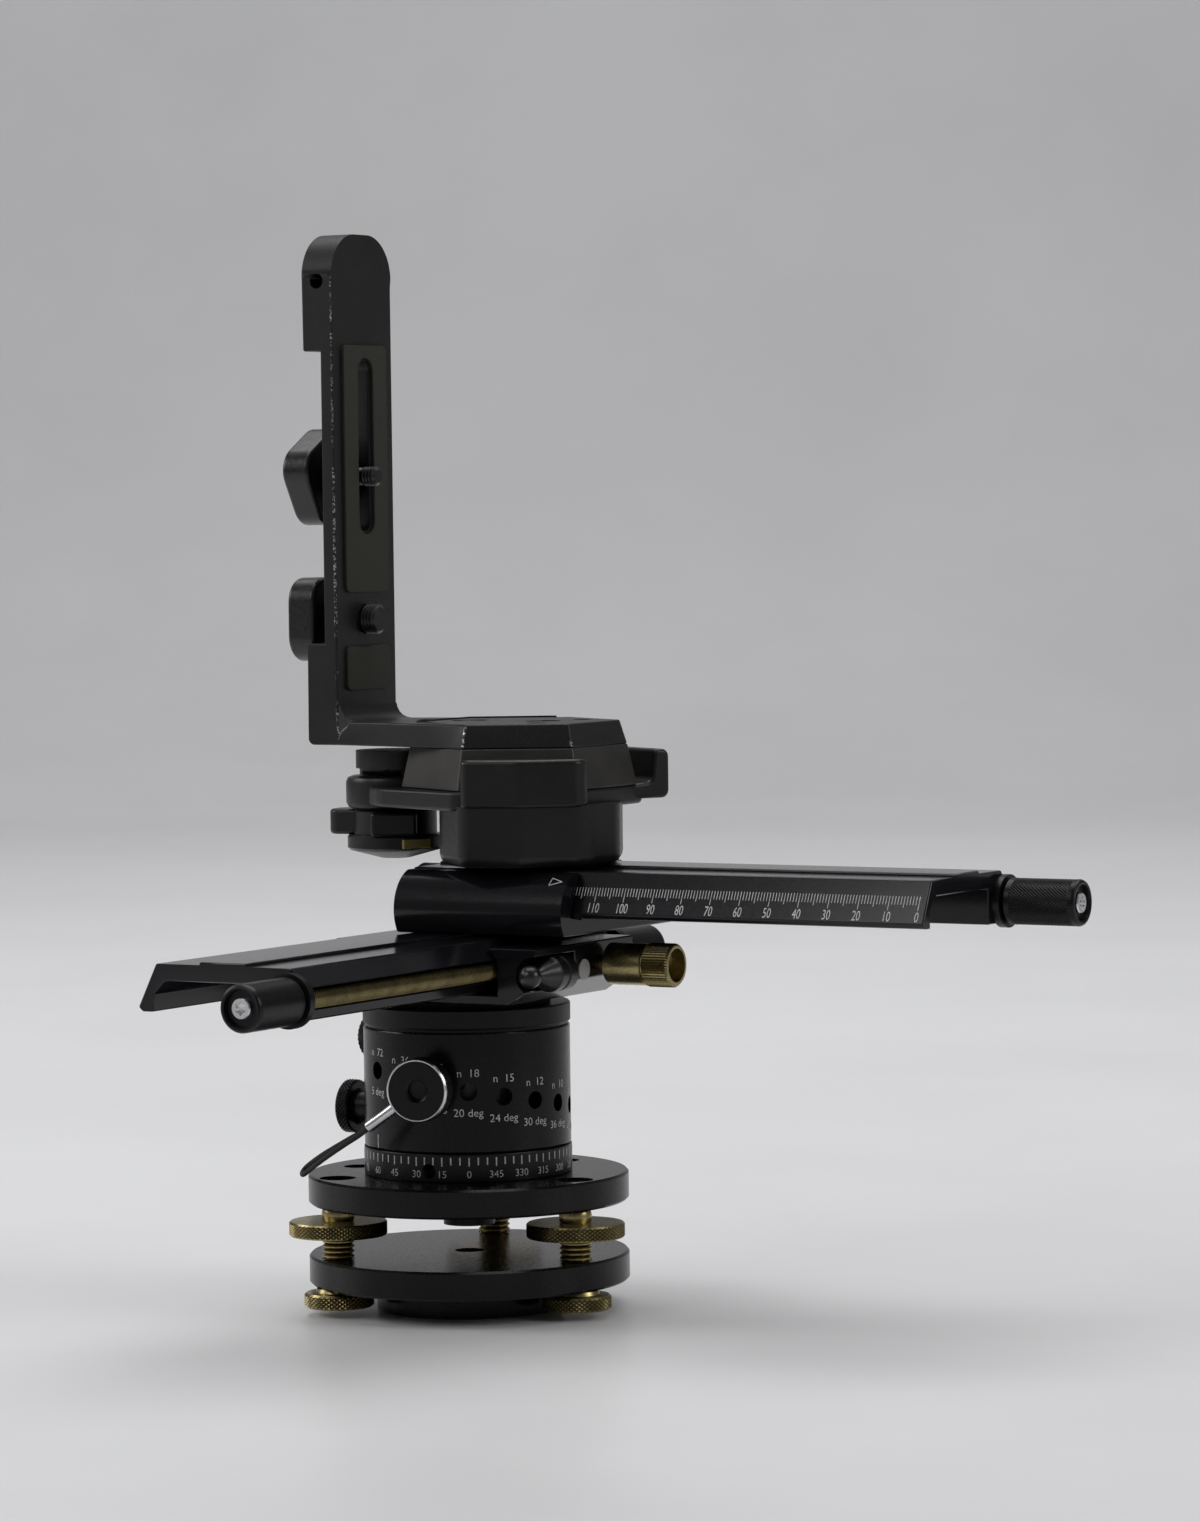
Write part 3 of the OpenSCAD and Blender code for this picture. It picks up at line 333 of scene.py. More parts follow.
@dataclass(frozen=True)
class SoftFinish:
    """Rubber, plastic, cork, ink or floor: a plain body with fine mottling."""

    name: str
    dark: Colour
    light: Colour
    gloss: tuple[float, float]
    mottle: float = 700.0
    depth: float = 0.05 * MM
    shown: float = 0.4

    def build(self) -> Material:
        """Make the material.

        Returns:
            The finished material.
        """
        graph = Graph(self.name)
        mottle = graph.noise(self.mottle, 4.0)
        graph.drive("Base Color", graph.ramp(mottle, ((0.35, self.dark), (0.65, self.light))))
        graph.drive("Roughness", graph.spread(mottle, *self.gloss))
        graph.bump(mottle, self.depth, self.shown)
        return graph.material


@dataclass(frozen=True)
class BraidFinish:
    """Braided cord: two crossing sets of strands, whose lean is in radians."""

    name: str
    dark: Colour
    light: Colour
    strands: float = 260.0
    lean: float = 0.7
    waver: float = 0.6
    roughness: float = 0.8
    depth: float = 0.15 * MM
    shown: float = 0.7

    def build(self) -> Material:
        """Make the material.

        Returns:
            The finished material.
        """
        graph = Graph(self.name)
        waves = []
        for turn in (self.lean, -self.lean):
            mapping = graph.node("ShaderNodeMapping", Rotation=(0.0, turn, turn))
            graph.link(graph.coords, mapping.inputs["Vector"])
            wave = graph.node("ShaderNodeTexWave", Scale=self.strands, Distortion=self.waver, Detail=1.0)
            graph.link(mapping.outputs["Vector"], wave.inputs["Vector"])
            waves.append(wave.outputs["Fac"])
        weave = graph.join(*waves, operation="MAXIMUM")
        graph.drive("Base Color", graph.ramp(weave, ((0.2, self.dark), (0.9, self.light))))
        graph.set(Roughness=self.roughness)
        graph.bump(weave, self.depth, self.shown)
        return graph.material


Finish = MetalFinish | PaintFinish | SoftFinish | BraidFinish

BLACK_ANODISED = MetalFinish("black_anodised", (0.0025, 0.0025, 0.0032), (0.005, 0.005, 0.006), 0.0,
                             (0.2, 0.3), specular=0.2)
RAIL_ANODISED = MetalFinish("rail_anodised", (0.0035, 0.0035, 0.0048), (0.0062, 0.0062, 0.008), 0.0,
                            (0.12, 0.2), specular=0.42)
TURNED_BLACK = MetalFinish("turned_black", (0.0025, 0.0025, 0.003), (0.005, 0.005, 0.0056), 0.0,
                           (0.26, 0.4), specular=0.24)
CAST_BLACK = MetalFinish("cast_black", (0.0045, 0.0045, 0.0048), (0.009, 0.009, 0.0092), 0.0,
                         (0.3, 0.44), grain=900.0, grain_depth=0.05 * MM, specular=0.34)
GREY_ANODISED = MetalFinish("grey_anodised", (0.028, 0.027, 0.024), (0.05, 0.048, 0.043), 0.4, (0.34, 0.5))
# Darker brass for the painted shade, with some patina, in the bottoms of knurls and threads
BRASS_SHADE_PATINA: Colour = (0.075, 0.058, 0.026)
AGED_BRASS = MetalFinish("aged_brass", (0.3, 0.245, 0.115), (0.43, 0.36, 0.17), 1.0, (0.24, 0.38),
                         cloud=120.0, shade_patina=BRASS_SHADE_PATINA)
SATIN_BRASS = MetalFinish("satin_brass", (0.36, 0.29, 0.1), (0.5, 0.41, 0.15), 0.55, (0.4, 0.55))
# A darker copy of the aged brass: painted shade for the lead screw, which lies in shade inside its rail
SHADED_BRASS = MetalFinish("shaded_brass", (0.11, 0.09, 0.04), (0.24, 0.2, 0.095), 1.0, (0.24, 0.4),
                          cloud=160.0, shade_patina=BRASS_SHADE_PATINA)
BRIGHT_STEEL = MetalFinish("bright_steel", (0.55, 0.55, 0.57), (0.75, 0.75, 0.77), 1.0, (0.18, 0.3))
SATIN_STEEL = MetalFinish("satin_steel", (0.45, 0.45, 0.46), (0.6, 0.6, 0.61), 0.55, (0.45, 0.6))
DARK_STEEL = MetalFinish("dark_steel", (0.02, 0.02, 0.021), (0.04, 0.04, 0.042), 0.8, (0.35, 0.5))
WORN_PAINT = PaintFinish("worn_paint", (0.0045, 0.0045, 0.0048), (0.0085, 0.0085, 0.009),
                         (0.5, 0.49, 0.48), (0.36, 0.54))
BLACK_RUBBER = SoftFinish("black_rubber", (0.005, 0.005, 0.005), (0.01, 0.01, 0.01), (0.7, 0.9))
BLACK_PLASTIC = SoftFinish("black_plastic", (0.0045, 0.0045, 0.005), (0.0085, 0.0085, 0.009),
                           (0.26, 0.4), 900.0, 0.02 * MM)
CORK_PAD = SoftFinish("cork_pad", (0.012, 0.0115, 0.008), (0.026, 0.025, 0.017), (0.7, 0.95), 900.0, 0.2 * MM)
WHITE_INK = SoftFinish("white_ink", (0.42, 0.42, 0.42), (0.66, 0.66, 0.66), (0.55, 0.75))
BLACK_BRAID = BraidFinish("black_braid", (0.003, 0.003, 0.003), (0.012, 0.012, 0.013))
PALE_FLOOR = SoftFinish("pale_floor", (0.7, 0.7, 0.71), (0.74, 0.74, 0.75), (0.3, 0.36), 3.0, 0.0)


class Rack:
    """Keeps each finish's material, made once."""

    made: dict[str, Material] = {}

    @classmethod
    def get(cls, finish: Finish) -> Material:
        """Find or make a finish's material.

        Args:
            finish: The finish.

        Returns:
            Its material.
        """
        if finish.name not in cls.made:
            cls.made[finish.name] = finish.build()
        return cls.made[finish.name]


# Modelling helpers

NODE_BODY: dict[str, str] = {
    node: body for body, nodes in frame["record"]["behaviour"]["bodies"].items() for node in nodes
}

# Angles between two faces: up to the first they are merged into one, and up to the second shaded smooth
FLAT_ANGLE = 0.4
SMOOTH_ANGLE = 32.0

# Threads: where a crest starts and ends, as shares of the pitch, and how far below it the painted shade and
# patina start
CREST_START = 0.4
CREST_END = 0.6
SHADE_PATINA_DEPTH = 0.1 * MM


def copy_node(node: str) -> BMesh:
    """Copy a solid's mesh, with its loose triangles merged into plain faces.

    Args:
        node: The solid's name.

    Returns:
        The merged copy.
    """
    bm = bmesh.new()
    bm.from_mesh(frame["nodes"][node].data)
    bmesh.ops.remove_doubles(bm, verts=bm.verts, dist=2 * HAIR)
    bmesh.ops.dissolve_limit(bm, angle_limit=math.radians(FLAT_ANGLE), verts=bm.verts, edges=bm.edges)
    return bm


def sharp_edges(bm: BMesh, least: float, angle: float = 25.0) -> list[BMEdge]:
    """Find the sharp edges that are long enough to round.

    Args:
        bm: The mesh.
        least: Shortest edge to take.
        angle: Least angle between its two faces, in degrees.

    Returns:
        The edges.
    """
    limit = math.radians(angle)
    return [e for e in bm.edges
            if len(e.link_faces) == 2 and e.calc_length() > least and e.calc_face_angle(0.0) > limit]


def round_edges(bm: BMesh, edges: Sequence[BMEdge], width: float,
                segments: int = 2) -> list[BMFace]:
    """Round edges of a mesh.

    Args:
        bm: The mesh.
        edges: The edges to round.
        width: Width of the rounding.
        segments: Faces across it.

    Returns:
        The new faces.
    """
    made = bmesh.ops.bevel(bm, geom=list(edges), offset=width, offset_type="OFFSET", affect="EDGES",
                           segments=segments, profile=0.5, material=-1, clamp_overlap=False)
    bmesh.ops.dissolve_degenerate(bm, dist=HAIR, edges=bm.edges)
    return [f for f in made["faces"] if f.is_valid]


def spun(profile: Corners, steps: int = 96, closed: bool = False) -> BMesh:
    """Turn an outline in (radius, height) about +Z.

    Args:
        profile: Corners of the outline, in metres; it starts and ends on the axis or is closed.
        steps: Faces around the axis.
        closed: True where the outline is a loop clear of the axis.

    Returns:
        The turned mesh.
    """
    bm = bmesh.new()
    verts = [bm.verts.new((r, 0.0, z)) for r, z in profile]
    edges = [bm.edges.new(pair) for pair in zip(verts, verts[1:])]
    if closed:
        edges.append(bm.edges.new((verts[-1], verts[0])))
    bmesh.ops.spin(bm, geom=verts + edges, cent=(0, 0, 0), axis=(0, 0, 1), angle=2 * math.pi,
                   steps=steps, use_merge=True, use_duplicate=False)
    bmesh.ops.remove_doubles(bm, verts=bm.verts, dist=HAIR)
    bmesh.ops.recalc_face_normals(bm, faces=bm.faces)
    return bm


def merge(target: BMesh, part: BMesh, place: Matrix | None = None) -> None:
    """Move a mesh into another one.

    Args:
        target: The mesh that receives it.
        part: The mesh that is used up.
        place: Where it goes.
    """
    if place is not None:
        bmesh.ops.transform(part, matrix=place, verts=part.verts)
    spare = bpy.data.meshes.new("spare")
    part.to_mesh(spare)
    part.free()
    target.from_mesh(spare)
    bpy.data.meshes.remove(spare)


def prism(outline: Corners, low: float, high: float, corners: float | Sequence[float],
          top: float = 0.0, bottom: float = 0.0, segments: int = 4) -> BMesh:
    """Extrude a flat outline along +Z and round its edges.

    Args:
        outline: Corners in (x, y), counter-clockwise.
        low: Lower height.
        high: Upper height.
        corners: Rounding of the upright edges: one value, or one for each corner.
        top: Rounding of the upper rim.
        bottom: Rounding of the lower rim.
        segments: Faces across each rounding.

    Returns:
        The solid.
    """
    bm = bmesh.new()
    face = bm.faces.new([bm.verts.new((x, y, low)) for x, y in outline])
    made = bmesh.ops.extrude_face_region(bm, geom=[face])
    lifted = [v for v in made["geom"] if isinstance(v, BMVert)]
    bmesh.ops.translate(bm, vec=(0, 0, high - low), verts=lifted)
    bmesh.ops.recalc_face_normals(bm, faces=bm.faces)
    widths = [corners] * len(outline) if isinstance(corners, float) else list(corners)
    for width in sorted(set(widths) - {0.0}):
        spots = [Vector(p) for p, w in zip(outline, widths) if w == width]
        upright = [e for e in bm.edges if abs(e.verts[0].co.z - e.verts[1].co.z) > 0.5 * (high - low)
                   and any((e.verts[0].co.xy - p).length < HAIR for p in spots)]
        round_edges(bm, upright, width, segments)
    for width, height in ((bottom, low), (top, high)):
        if width:
            rim = [e for e in bm.edges if all(abs(v.co.z - height) < HAIR for v in e.verts)]
            round_edges(bm, rim, width, segments)
    return bm


def in_mm(*corners: tuple[float, float]) -> Outline:
    """Corners of an outline that are given in millimetres."""
    return [(x * MM, y * MM) for x, y in corners]


def inset_rows(radius: float, height: float, *steps: tuple[float, float]) -> Outline:
    """Corners of an outline, in millimetres inwards from a radius and down from a height."""
    return [(radius - inwards * MM, height - down * MM) for inwards, down in steps]


def rows_between(radius: float, low: float, high: float, pitch: float) -> Outline:
    """Rows of an outline's straight rim.

    Args:
        radius: Radius of the rim.
        low: Its lower end.
        high: Its upper end.
        pitch: Height of one row, about.

    Returns:
        Corners from the lower end to the upper one.
    """
    count = max(1, round((high - low) / pitch))
    return [(radius, low + (high - low) * i / count) for i in range(count + 1)]


def thread_rows(radius: float, low: float, high: float, pitch: float, depth: float) -> Outline:
    """Crests and roots of a thread's outline.

    Args:
        radius: Radius at the crests.
        low: Lower end.
        high: Upper end.
        pitch: Height from crest to crest, about.
        depth: Depth of the roots.

    Returns:
        Corners from the lower end to the upper one.
    """
    count = max(1, round((high - low) / pitch))
    step = (high - low) / count
    rows = []
    for i in range(count):
        rows += [(radius - depth, low + i * step), (radius, low + (i + CREST_START) * step),
                 (radius, low + (i + CREST_END) * step)]
    return rows + [(radius - depth, high)]


def ball_rows(radius: float, centre: float, start: float, steps: int = 12) -> Outline:
    """Rows of a ball's outline up to its top on the axis.

    Args:
        radius: Radius of the ball.
        centre: Height of its centre.
        start: Angle of the first row above the ball's middle, in radians.
        steps: Rows below the top.

    Returns:
        Corners from the first row to the top.
    """
    turns = [start + (math.pi / 2 - start) * i / steps for i in range(steps)]
    rows = [(radius * math.cos(turn), centre + radius * math.sin(turn)) for turn in turns]
    return rows + [(0.0, centre + radius)]


def reach_of(vert: BMVert) -> float:
    """Distance of a point from the axis Z."""
    return math.hypot(vert.co.x, vert.co.y)


def shade_patina_layer(bm: BMesh) -> BMLayerItem:
    """Find or add the layer that marks points darkened with painted shade and some patina."""
    layers = bm.verts.layers.float
    return layers.get("shade_and_patina") or layers.new("shade_and_patina")


def cut_knurl(bm: BMesh, kind: Knurl, rim: Corners, steps: int, depth: float) -> None:
    """Press a knurl into the rim of a turned mesh and mark its bottoms for painted shade and some patina.

    Args:
        bm: The turned mesh, about +Z.
        kind: The cut.
        rim: Rows of the rim in the mesh's outline.
        steps: Faces around the mesh.
        depth: Depth of the cut.
    """
    radius, low = rim[0]
    high = rim[-1][1]
    pitch = rim[1][1] - low
    shade_and_patina = shade_patina_layer(bm)
    sunk = set()
    for vert in bm.verts:
        reach = reach_of(vert)
        if abs(reach - radius) > TOUCH or not low - TOUCH <= vert.co.z <= high + TOUCH:
            continue
        column = round(math.atan2(vert.co.y, vert.co.x) / (2 * math.pi) * steps) % steps
        row = round((vert.co.z - low) / pitch) if kind is Knurl.DIAMOND else 0
        if (column + row) % 2:
            vert.co.x *= (reach - depth) / reach
            vert.co.y *= (reach - depth) / reach
            # Sunk points of the knurl get painted shade, with some patina
            vert[shade_and_patina] = 1.0
            sunk.add(vert)
    for face in list(bm.faces) if kind is Knurl.DIAMOND else ():
        corners = [v for v in face.verts if v in sunk]
        if len(face.verts) == 4 and len(corners) == 2 and not bm.edges.get(corners):
            bmesh.utils.face_split(face, *corners)


def shade_thread_roots(bm: BMesh, radius: float, low: float, high: float) -> None:
    """Mark the roots of a thread for painted shade and some patina.

    Args:
        bm: The turned mesh, about +Z.
        radius: Radius at the crests.
        low: Lower end of the thread.
        high: Upper end of the thread.
    """
    shade_and_patina = shade_patina_layer(bm)
    for vert in bm.verts:
        if low <= vert.co.z <= high and reach_of(vert) < radius - SHADE_PATINA_DEPTH:
            # Thread roots get painted shade, with some patina
            vert[shade_and_patina] = 1.0


def radial_frame(angle: float, height: float) -> Matrix:
    """Frame at a height whose +Z points outwards from the pan axis, at an angle in degrees."""
    return (Matrix.Translation((0, 0, height)) @ Matrix.Rotation(math.radians(angle), 4, "Z")
            @ Matrix.Rotation(math.pi / 2, 4, "Y"))


def true_normals(mesh: Mesh, radius: float) -> None:
    """Shade a round wall about the pan axis by its true normals.

    Args:
        mesh: The mesh.
        radius: Radius of the wall.
    """
    normals = [corner.vector.copy() for corner in mesh.corner_normals]
    for face in mesh.polygons:
        spots = [mesh.vertices[i].co for i in face.vertices]
        if all(abs(spot.xy.length - radius) < 2 * TOUCH for spot in spots):
            for corner, spot in zip(face.loop_indices, spots):
                normals[corner] = Vector((spot.x, spot.y, 0.0)).normalized()
    mesh.normals_split_custom_set(normals)


def piece(bm: BMesh, name: str, node: str, finish: Finish, place: Matrix | None = None,
          replaces: bool = True, smooth: float = SMOOTH_ANGLE,
          barrel: float = 0.0) -> Object:
    """Turn a mesh into a finished piece that rides with a solid's body.

    Args:
        bm: The mesh, which is used up.
        name: The piece's name.
        node: The solid that it stands for, or lies on.
        finish: Its finish.
        place: Where the mesh goes; it is applied to the mesh.
        replaces: True where it stands for the solid.
        smooth: Greatest angle that is shaded smooth, in degrees.
        barrel: Radius of a round wall about the pan axis that is shaded by its true normals.

    Returns:
        The piece.
    """
    if place is not None:
        bmesh.ops.transform(bm, matrix=place, verts=bm.verts)
    mesh = bpy.data.meshes.new(name)
    bm.to_mesh(mesh)
    bm.free()
    mesh.materials.append(Rack.get(finish))
    mesh.shade_smooth()
    mesh.set_sharp_from_angle(angle=math.radians(smooth))
    made = bpy.data.objects.new(name, mesh)
    if barrel:
        true_normals(mesh, barrel)
    else:
        made.modifiers.new("flat_faces", "WEIGHTED_NORMAL").keep_sharp = True
    bpy.context.scene.collection.objects.link(made)
    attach(made, NODE_BODY[node])
    if replaces:
        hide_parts(node)
    LOG.info("piece %s: %d faces", name, len(mesh.polygons))
    return made


def dressed(node: str, finish: Finish, width: float = 0.0, least: float = 0.0) -> Object:
    """Make a piece from a solid's own shape, with its long edges rounded.

    Args:
        node: The solid's name.
        finish: Its finish.
        width: Width of the rounding; 0 leaves edges sharp.
        least: Shortest edge that is rounded.

    Returns:
        The piece.
    """
    bm = copy_node(node)
    if width:
        round_edges(bm, sharp_edges(bm, least), width)
    return piece(bm, f"{node}_skin", node, finish)


def lettering(target: BMesh, words: str, height: float, place: Place) -> None:
    """Add plain lettering to a mesh.

    Args:
        target: The mesh that receives it.
        words: The characters.
        height: Height of a digit.
        place: Puts a flat point and its lift on the surface.
    """
    curve = bpy.data.curves.new("lettering", "FONT")
    curve.body = words
    curve.size = height / DIGIT_SHARE
    curve.align_x = "CENTER"
    curve.align_y = "CENTER"
    curve.extrude = INK_HALF
    curve.offset = -TYPE_THINNING * curve.size
    curve.resolution_u = TYPE_STEPS
    holder = bpy.data.objects.new("lettering", curve)
    bpy.context.scene.collection.objects.link(holder)
    graph = bpy.context.evaluated_depsgraph_get()
    flat = bpy.data.meshes.new_from_object(holder.evaluated_get(graph))
    bpy.data.objects.remove(holder)
    bpy.data.curves.remove(curve)
    for vert in flat.vertices:
        vert.co = place(*vert.co)
    target.from_mesh(flat)
    bpy.data.meshes.remove(flat)


def stroke(target: BMesh, start: tuple[float, float], end: tuple[float, float], width: float,
           place: Place, steps: int = 1) -> None:
    """Add one straight printed line to a mesh.

    Args:
        target: The mesh that receives it.
        start: Flat start point.
        end: Flat end point.
        width: Width of the line.
        place: Puts a flat point and its lift on the surface.
        steps: Lengths that it is cut into.
    """
    run = Vector((end[0] - start[0], end[1] - start[1]))
    side = Vector((-run.y, run.x)).normalized() * width / 2
    rings = []
    for i in range(steps + 1):
        middle = Vector(start) + run * i / steps
        rings.append([target.verts.new(place(*(middle + side * s), lift * INK_HALF))
                      for s, lift in ((-1, -1), (1, -1), (1, 1), (-1, 1))])
    for a, b in zip(rings, rings[1:]):
        for k in range(4):
            target.faces.new((a[k], a[k - 1], b[k - 1], b[k]))
    target.faces.new(rings[0])
    target.faces.new(rings[-1][::-1])


def around(radius: float, angle: float, height: float) -> Place:
    """Place flat marks around the pan axis.

    Args:
        radius: Radius of the surface.
        angle: Direction of the mark's middle in degrees.
        height: Height of its middle.

    Returns:
        A function that puts a flat point on the surface.
    """
    print_r = radius + INK_LIFT

    def put(x: float, y: float, lift: float) -> Vector:
        """Put one point on the round wall."""
        turn = math.radians(angle) + x / print_r
        return Vector(((print_r + lift) * math.cos(turn), (print_r + lift) * math.sin(turn), height + y))

    return put


# Sub-assemblies


@dataclass
class LevellingBase:
    """The two discs, three levelling screws and three lock nuts."""

    disc_r: float = 50.0 * MM
    wheel_low: float = 24.9 * MM
    wheel_top: float = 29.4 * MM
    wheel_bevel: float = 0.5 * MM
    wheel_steps: int = 110
    ball_r: float = 5.1 * MM
    thread_r: float = 5.0 * MM
    thread_pitch: float = 1.5 * MM
    thread_depth: float = 0.75 * MM
    neck_r: float = 4.0 * MM
    neck_len: float = 1.1 * MM
    nut_bore_r: float = 5.06 * MM
    nut_foot: float = 0.98 * MM
    nut_bevel: float = 0.7 * MM
    nut_steps: int = 78
    collar_high: float = 1.3 * MM
    collar_step: float = 0.2 * MM
    collar_low_r: float = 7.3 * MM
    collar_top_r: float = 6.9 * MM
    knurl_pitch: float = 0.62 * MM
    knurl_depth: float = 0.42 * MM
    smooth: float = 28.0
    sides: tuple[str, ...] = ("left", "right", "back")

    def disc(self, node: str) -> None:
        """Dress a disc, whose solid has its bevelled rims."""
        piece(copy_node(node), f"{node}_skin", node, BLACK_ANODISED, barrel=self.disc_r)

    def knurled(self, bm: BMesh, node: str, rim: Corners, steps: int) -> None:
        """Knurl a turned brass piece and put it on its solid's axis.

        Args:
            bm: The turned mesh, about +Z.
            node: The solid that it stands for.
            rim: Rows of its rim.
            steps: Faces around it.
        """
        low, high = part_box(node)
        middle = (low + high) / 2
        place = Matrix.Translation((middle.x, middle.y, 0.0))
        cut_knurl(bm, Knurl.DIAMOND, rim, steps, self.knurl_depth)
        piece(bm, f"{node}_skin", node, AGED_BRASS, place, smooth=self.smooth)

    def screw(self, side: str) -> None:
        """Turn a levelling screw with its thread, knurled wheel and ball.

        Args:
            side: Which of the three.
        """
        node = f"levelling_screw_{side}"
        low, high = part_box(node)
        wheel_r = (high.x - low.x) / 2
        bevel_r = wheel_r - self.wheel_bevel
        neck_low = self.wheel_low - self.neck_len
        ball_z = high.z - self.ball_r
        rim = rows_between(wheel_r, self.wheel_low + self.wheel_bevel, self.wheel_top - self.wheel_bevel,
                           self.knurl_pitch)
        profile = [(0.0, low.z),
                   *thread_rows(self.thread_r, low.z, neck_low, self.thread_pitch, self.thread_depth),
                   (self.neck_r, neck_low), (self.neck_r, self.wheel_low), (bevel_r, self.wheel_low), *rim,
                   (bevel_r, self.wheel_top),
                   *ball_rows(self.ball_r, ball_z, math.asin((self.wheel_top - ball_z) / self.ball_r))]
        bm = spun(profile, self.wheel_steps)
        # The thread's roots get painted shade, with some patina
        shade_thread_roots(bm, self.thread_r, low.z, neck_low - HAIR)
        self.knurled(bm, node, rim, self.wheel_steps)

    def nut(self, side: str) -> None:
        """Turn a knurled lock nut.

        Args:
            side: Which of the three.
        """
        node = f"lock_nut_{side}"
        low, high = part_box(node)
        rim_r = (high.x - low.x) / 2
        rim_top = high.z - self.collar_high
        rim = rows_between(rim_r, low.z + self.nut_bevel, rim_top - self.nut_bevel, self.knurl_pitch)
        profile = [(self.nut_bore_r, low.z), (rim_r - self.nut_foot, low.z), *rim,
                   (rim_r - self.nut_bevel, rim_top), (self.collar_low_r, rim_top + self.collar_step),
                   (self.collar_top_r, high.z), (self.nut_bore_r, high.z)]
        self.knurled(spun(profile, self.nut_steps, closed=True), node, rim, self.nut_steps)

    def build(self) -> None:
        """Build the whole base."""
        self.disc("base_disc")
        self.disc("upper_disc")
        for side in self.sides:
            self.screw(side)
            self.nut(side)
        dressed("head_bolt", DARK_STEEL)


@dataclass
class Rotator:
    """The click-stop rotator with its degree ring, plunger and lock knobs."""

    front: float = -58.0
    radius: float = 32.2 * MM
    body_low: float = 51.5 * MM
    body_top: float = 88.5 * MM
    body_round: float = 0.5 * MM
    ring_r: float = 32.4 * MM
    ring_low: float = 42.5 * MM
    ring_top: float = 51.3 * MM
    ring_round: float = 0.4 * MM
    rim_angle: float = 60.0
    tick_turn: int = 5
    tick_inset: float = 1.0 * MM
    tick_long: float = 2.7 * MM
    tick_short: float = 2.3 * MM
    tick_wide: float = 0.42 * MM
    number_turn: int = 15
    number_high: float = 2.3 * MM
    number_rise: float = 2.5 * MM
    index_z: float = 75.92 * MM
    index_drop: float = 1.8 * MM
    index_turn: float = 20.0
    index_home: int = 3
    index_shots: tuple[int, ...] = (72, 36, 24, 18, 15, 12, 10, 8, 6, 4)
    label_high: float = 2.5 * MM
    count_above: float = 5.6 * MM
    step_below: float = 6.6 * MM
    line_turn: float = 60.0
    line_low: float = 0.4 * MM
    line_high: float = 4.6 * MM
    line_wide: float = 0.4 * MM
    plate_r: float = 32.4 * MM
    plate_top: float = 95.5 * MM
    plate_bore_r: float = 4.75 * MM
    plate_bevel: float = 0.5 * MM
    plate_pitch: float = 0.5 * MM
    plate_steps: int = 400
    plate_knurl: float = 0.1 * MM
    groove_deep: float = 1.0 * MM
    groove_high: float = 0.8 * MM
    lock_r: float = 8.5 * MM
    lock_gap: float = 6.8 * MM
    lock_len: float = 4.4 * MM
    lock_neck_r: float = 5.0 * MM
    lock_shank_r: float = 2.5 * MM
    lock_inside: float = 4.8 * MM
    lock_clear: float = 0.3 * MM
    lock_bevel: float = 0.6 * MM
    lock_crown: float = 0.7 * MM
    lock_pitch: float = 0.6 * MM
    lock_steps: int = 72
    lock_knurl: float = 0.32 * MM
    lock_smooth: float = 28.0
    pan_lock: tuple[float, float] = (119.0, 61.12 * MM)
    side_lock: tuple[float, float] = (139.0, 82.21 * MM)
    plunger: int = 2
    plunger_travel: float = 2.2 * MM
    pull_r: float = 9.8 * MM
    pull_in: float = 39.9 * MM
    pull_out: float = 46.4 * MM
    pull_neck_r: float = 4.9 * MM
    pull_neck_deep: float = 1.0 * MM
    socket_r: float = 3.0 * MM
    socket_deep: float = 2.1 * MM

    def ring_marks(self) -> None:
        """Print the degree ring: a tick every 5 degrees and a number every 15."""
        bm = bmesh.new()
        top = self.ring_top - self.tick_inset
        for degree in range(0, 360, self.tick_turn):
            angle = self.front - degree
            numbered = degree % self.number_turn == 0
            reach = self.tick_long if numbered else self.tick_short
            stroke(bm, (0.0, top), (0.0, top - reach), self.tick_wide, around(self.ring_r, angle, 0.0))
            if numbered:
                lettering(bm, str(degree), self.number_high,
                          around(self.ring_r, angle, self.ring_low + self.number_rise))
        piece(bm, "ring_marks", "scale_ring", WHITE_INK, replaces=False)

    def body_marks(self) -> None:
        """Print the count above each index hole and its step below, and the index line."""
        bm = bmesh.new()
        for place, shots in enumerate(self.index_shots):
            angle = self.front + (place - self.index_home) * self.index_turn
            height = self.index_z - place * self.index_drop
            lettering(bm, f"n  {shots}", self.label_high,
                      around(self.radius, angle, height + self.count_above))
            lettering(bm, f"{360 // shots} deg", self.label_high,
                      around(self.radius, angle, height - self.step_below))
        line = around(self.radius, self.front - self.line_turn, self.body_low)
        stroke(bm, (0.0, self.line_low), (0.0, self.line_high), self.line_wide, line)
        piece(bm, "body_marks", "rotator_body", WHITE_INK, replaces=False)

    def top_plate(self) -> None:
        """Turn the knurled top plate."""
        groove_r, groove_top = self.radius - self.groove_deep, self.body_top + self.groove_high
        bevel_r = self.plate_r - self.plate_bevel
        rim = rows_between(self.plate_r, groove_top + self.plate_bevel, self.plate_top - self.plate_bevel,
                           self.plate_pitch)
        profile = [(self.plate_bore_r, self.body_top), (groove_r, self.body_top), (groove_r, groove_top),
                   (bevel_r, groove_top), *rim, (bevel_r, self.plate_top),
                   (self.plate_bore_r, self.plate_top)]
        bm = spun(profile, self.plate_steps, closed=True)
        cut_knurl(bm, Knurl.DIAMOND, rim, self.plate_steps, self.plate_knurl)
        piece(bm, "top_plate_skin", "top_plate", TURNED_BLACK)

    def wall_edges(self, bm: BMesh, radius: float) -> list[BMEdge]:
        """Sharp edges of a mesh whose ends are both on a round wall."""
        return [e for e in sharp_edges(bm, 0.0, self.rim_angle)
                if all(abs(reach_of(v) - radius) < NEAR for v in e.verts)]

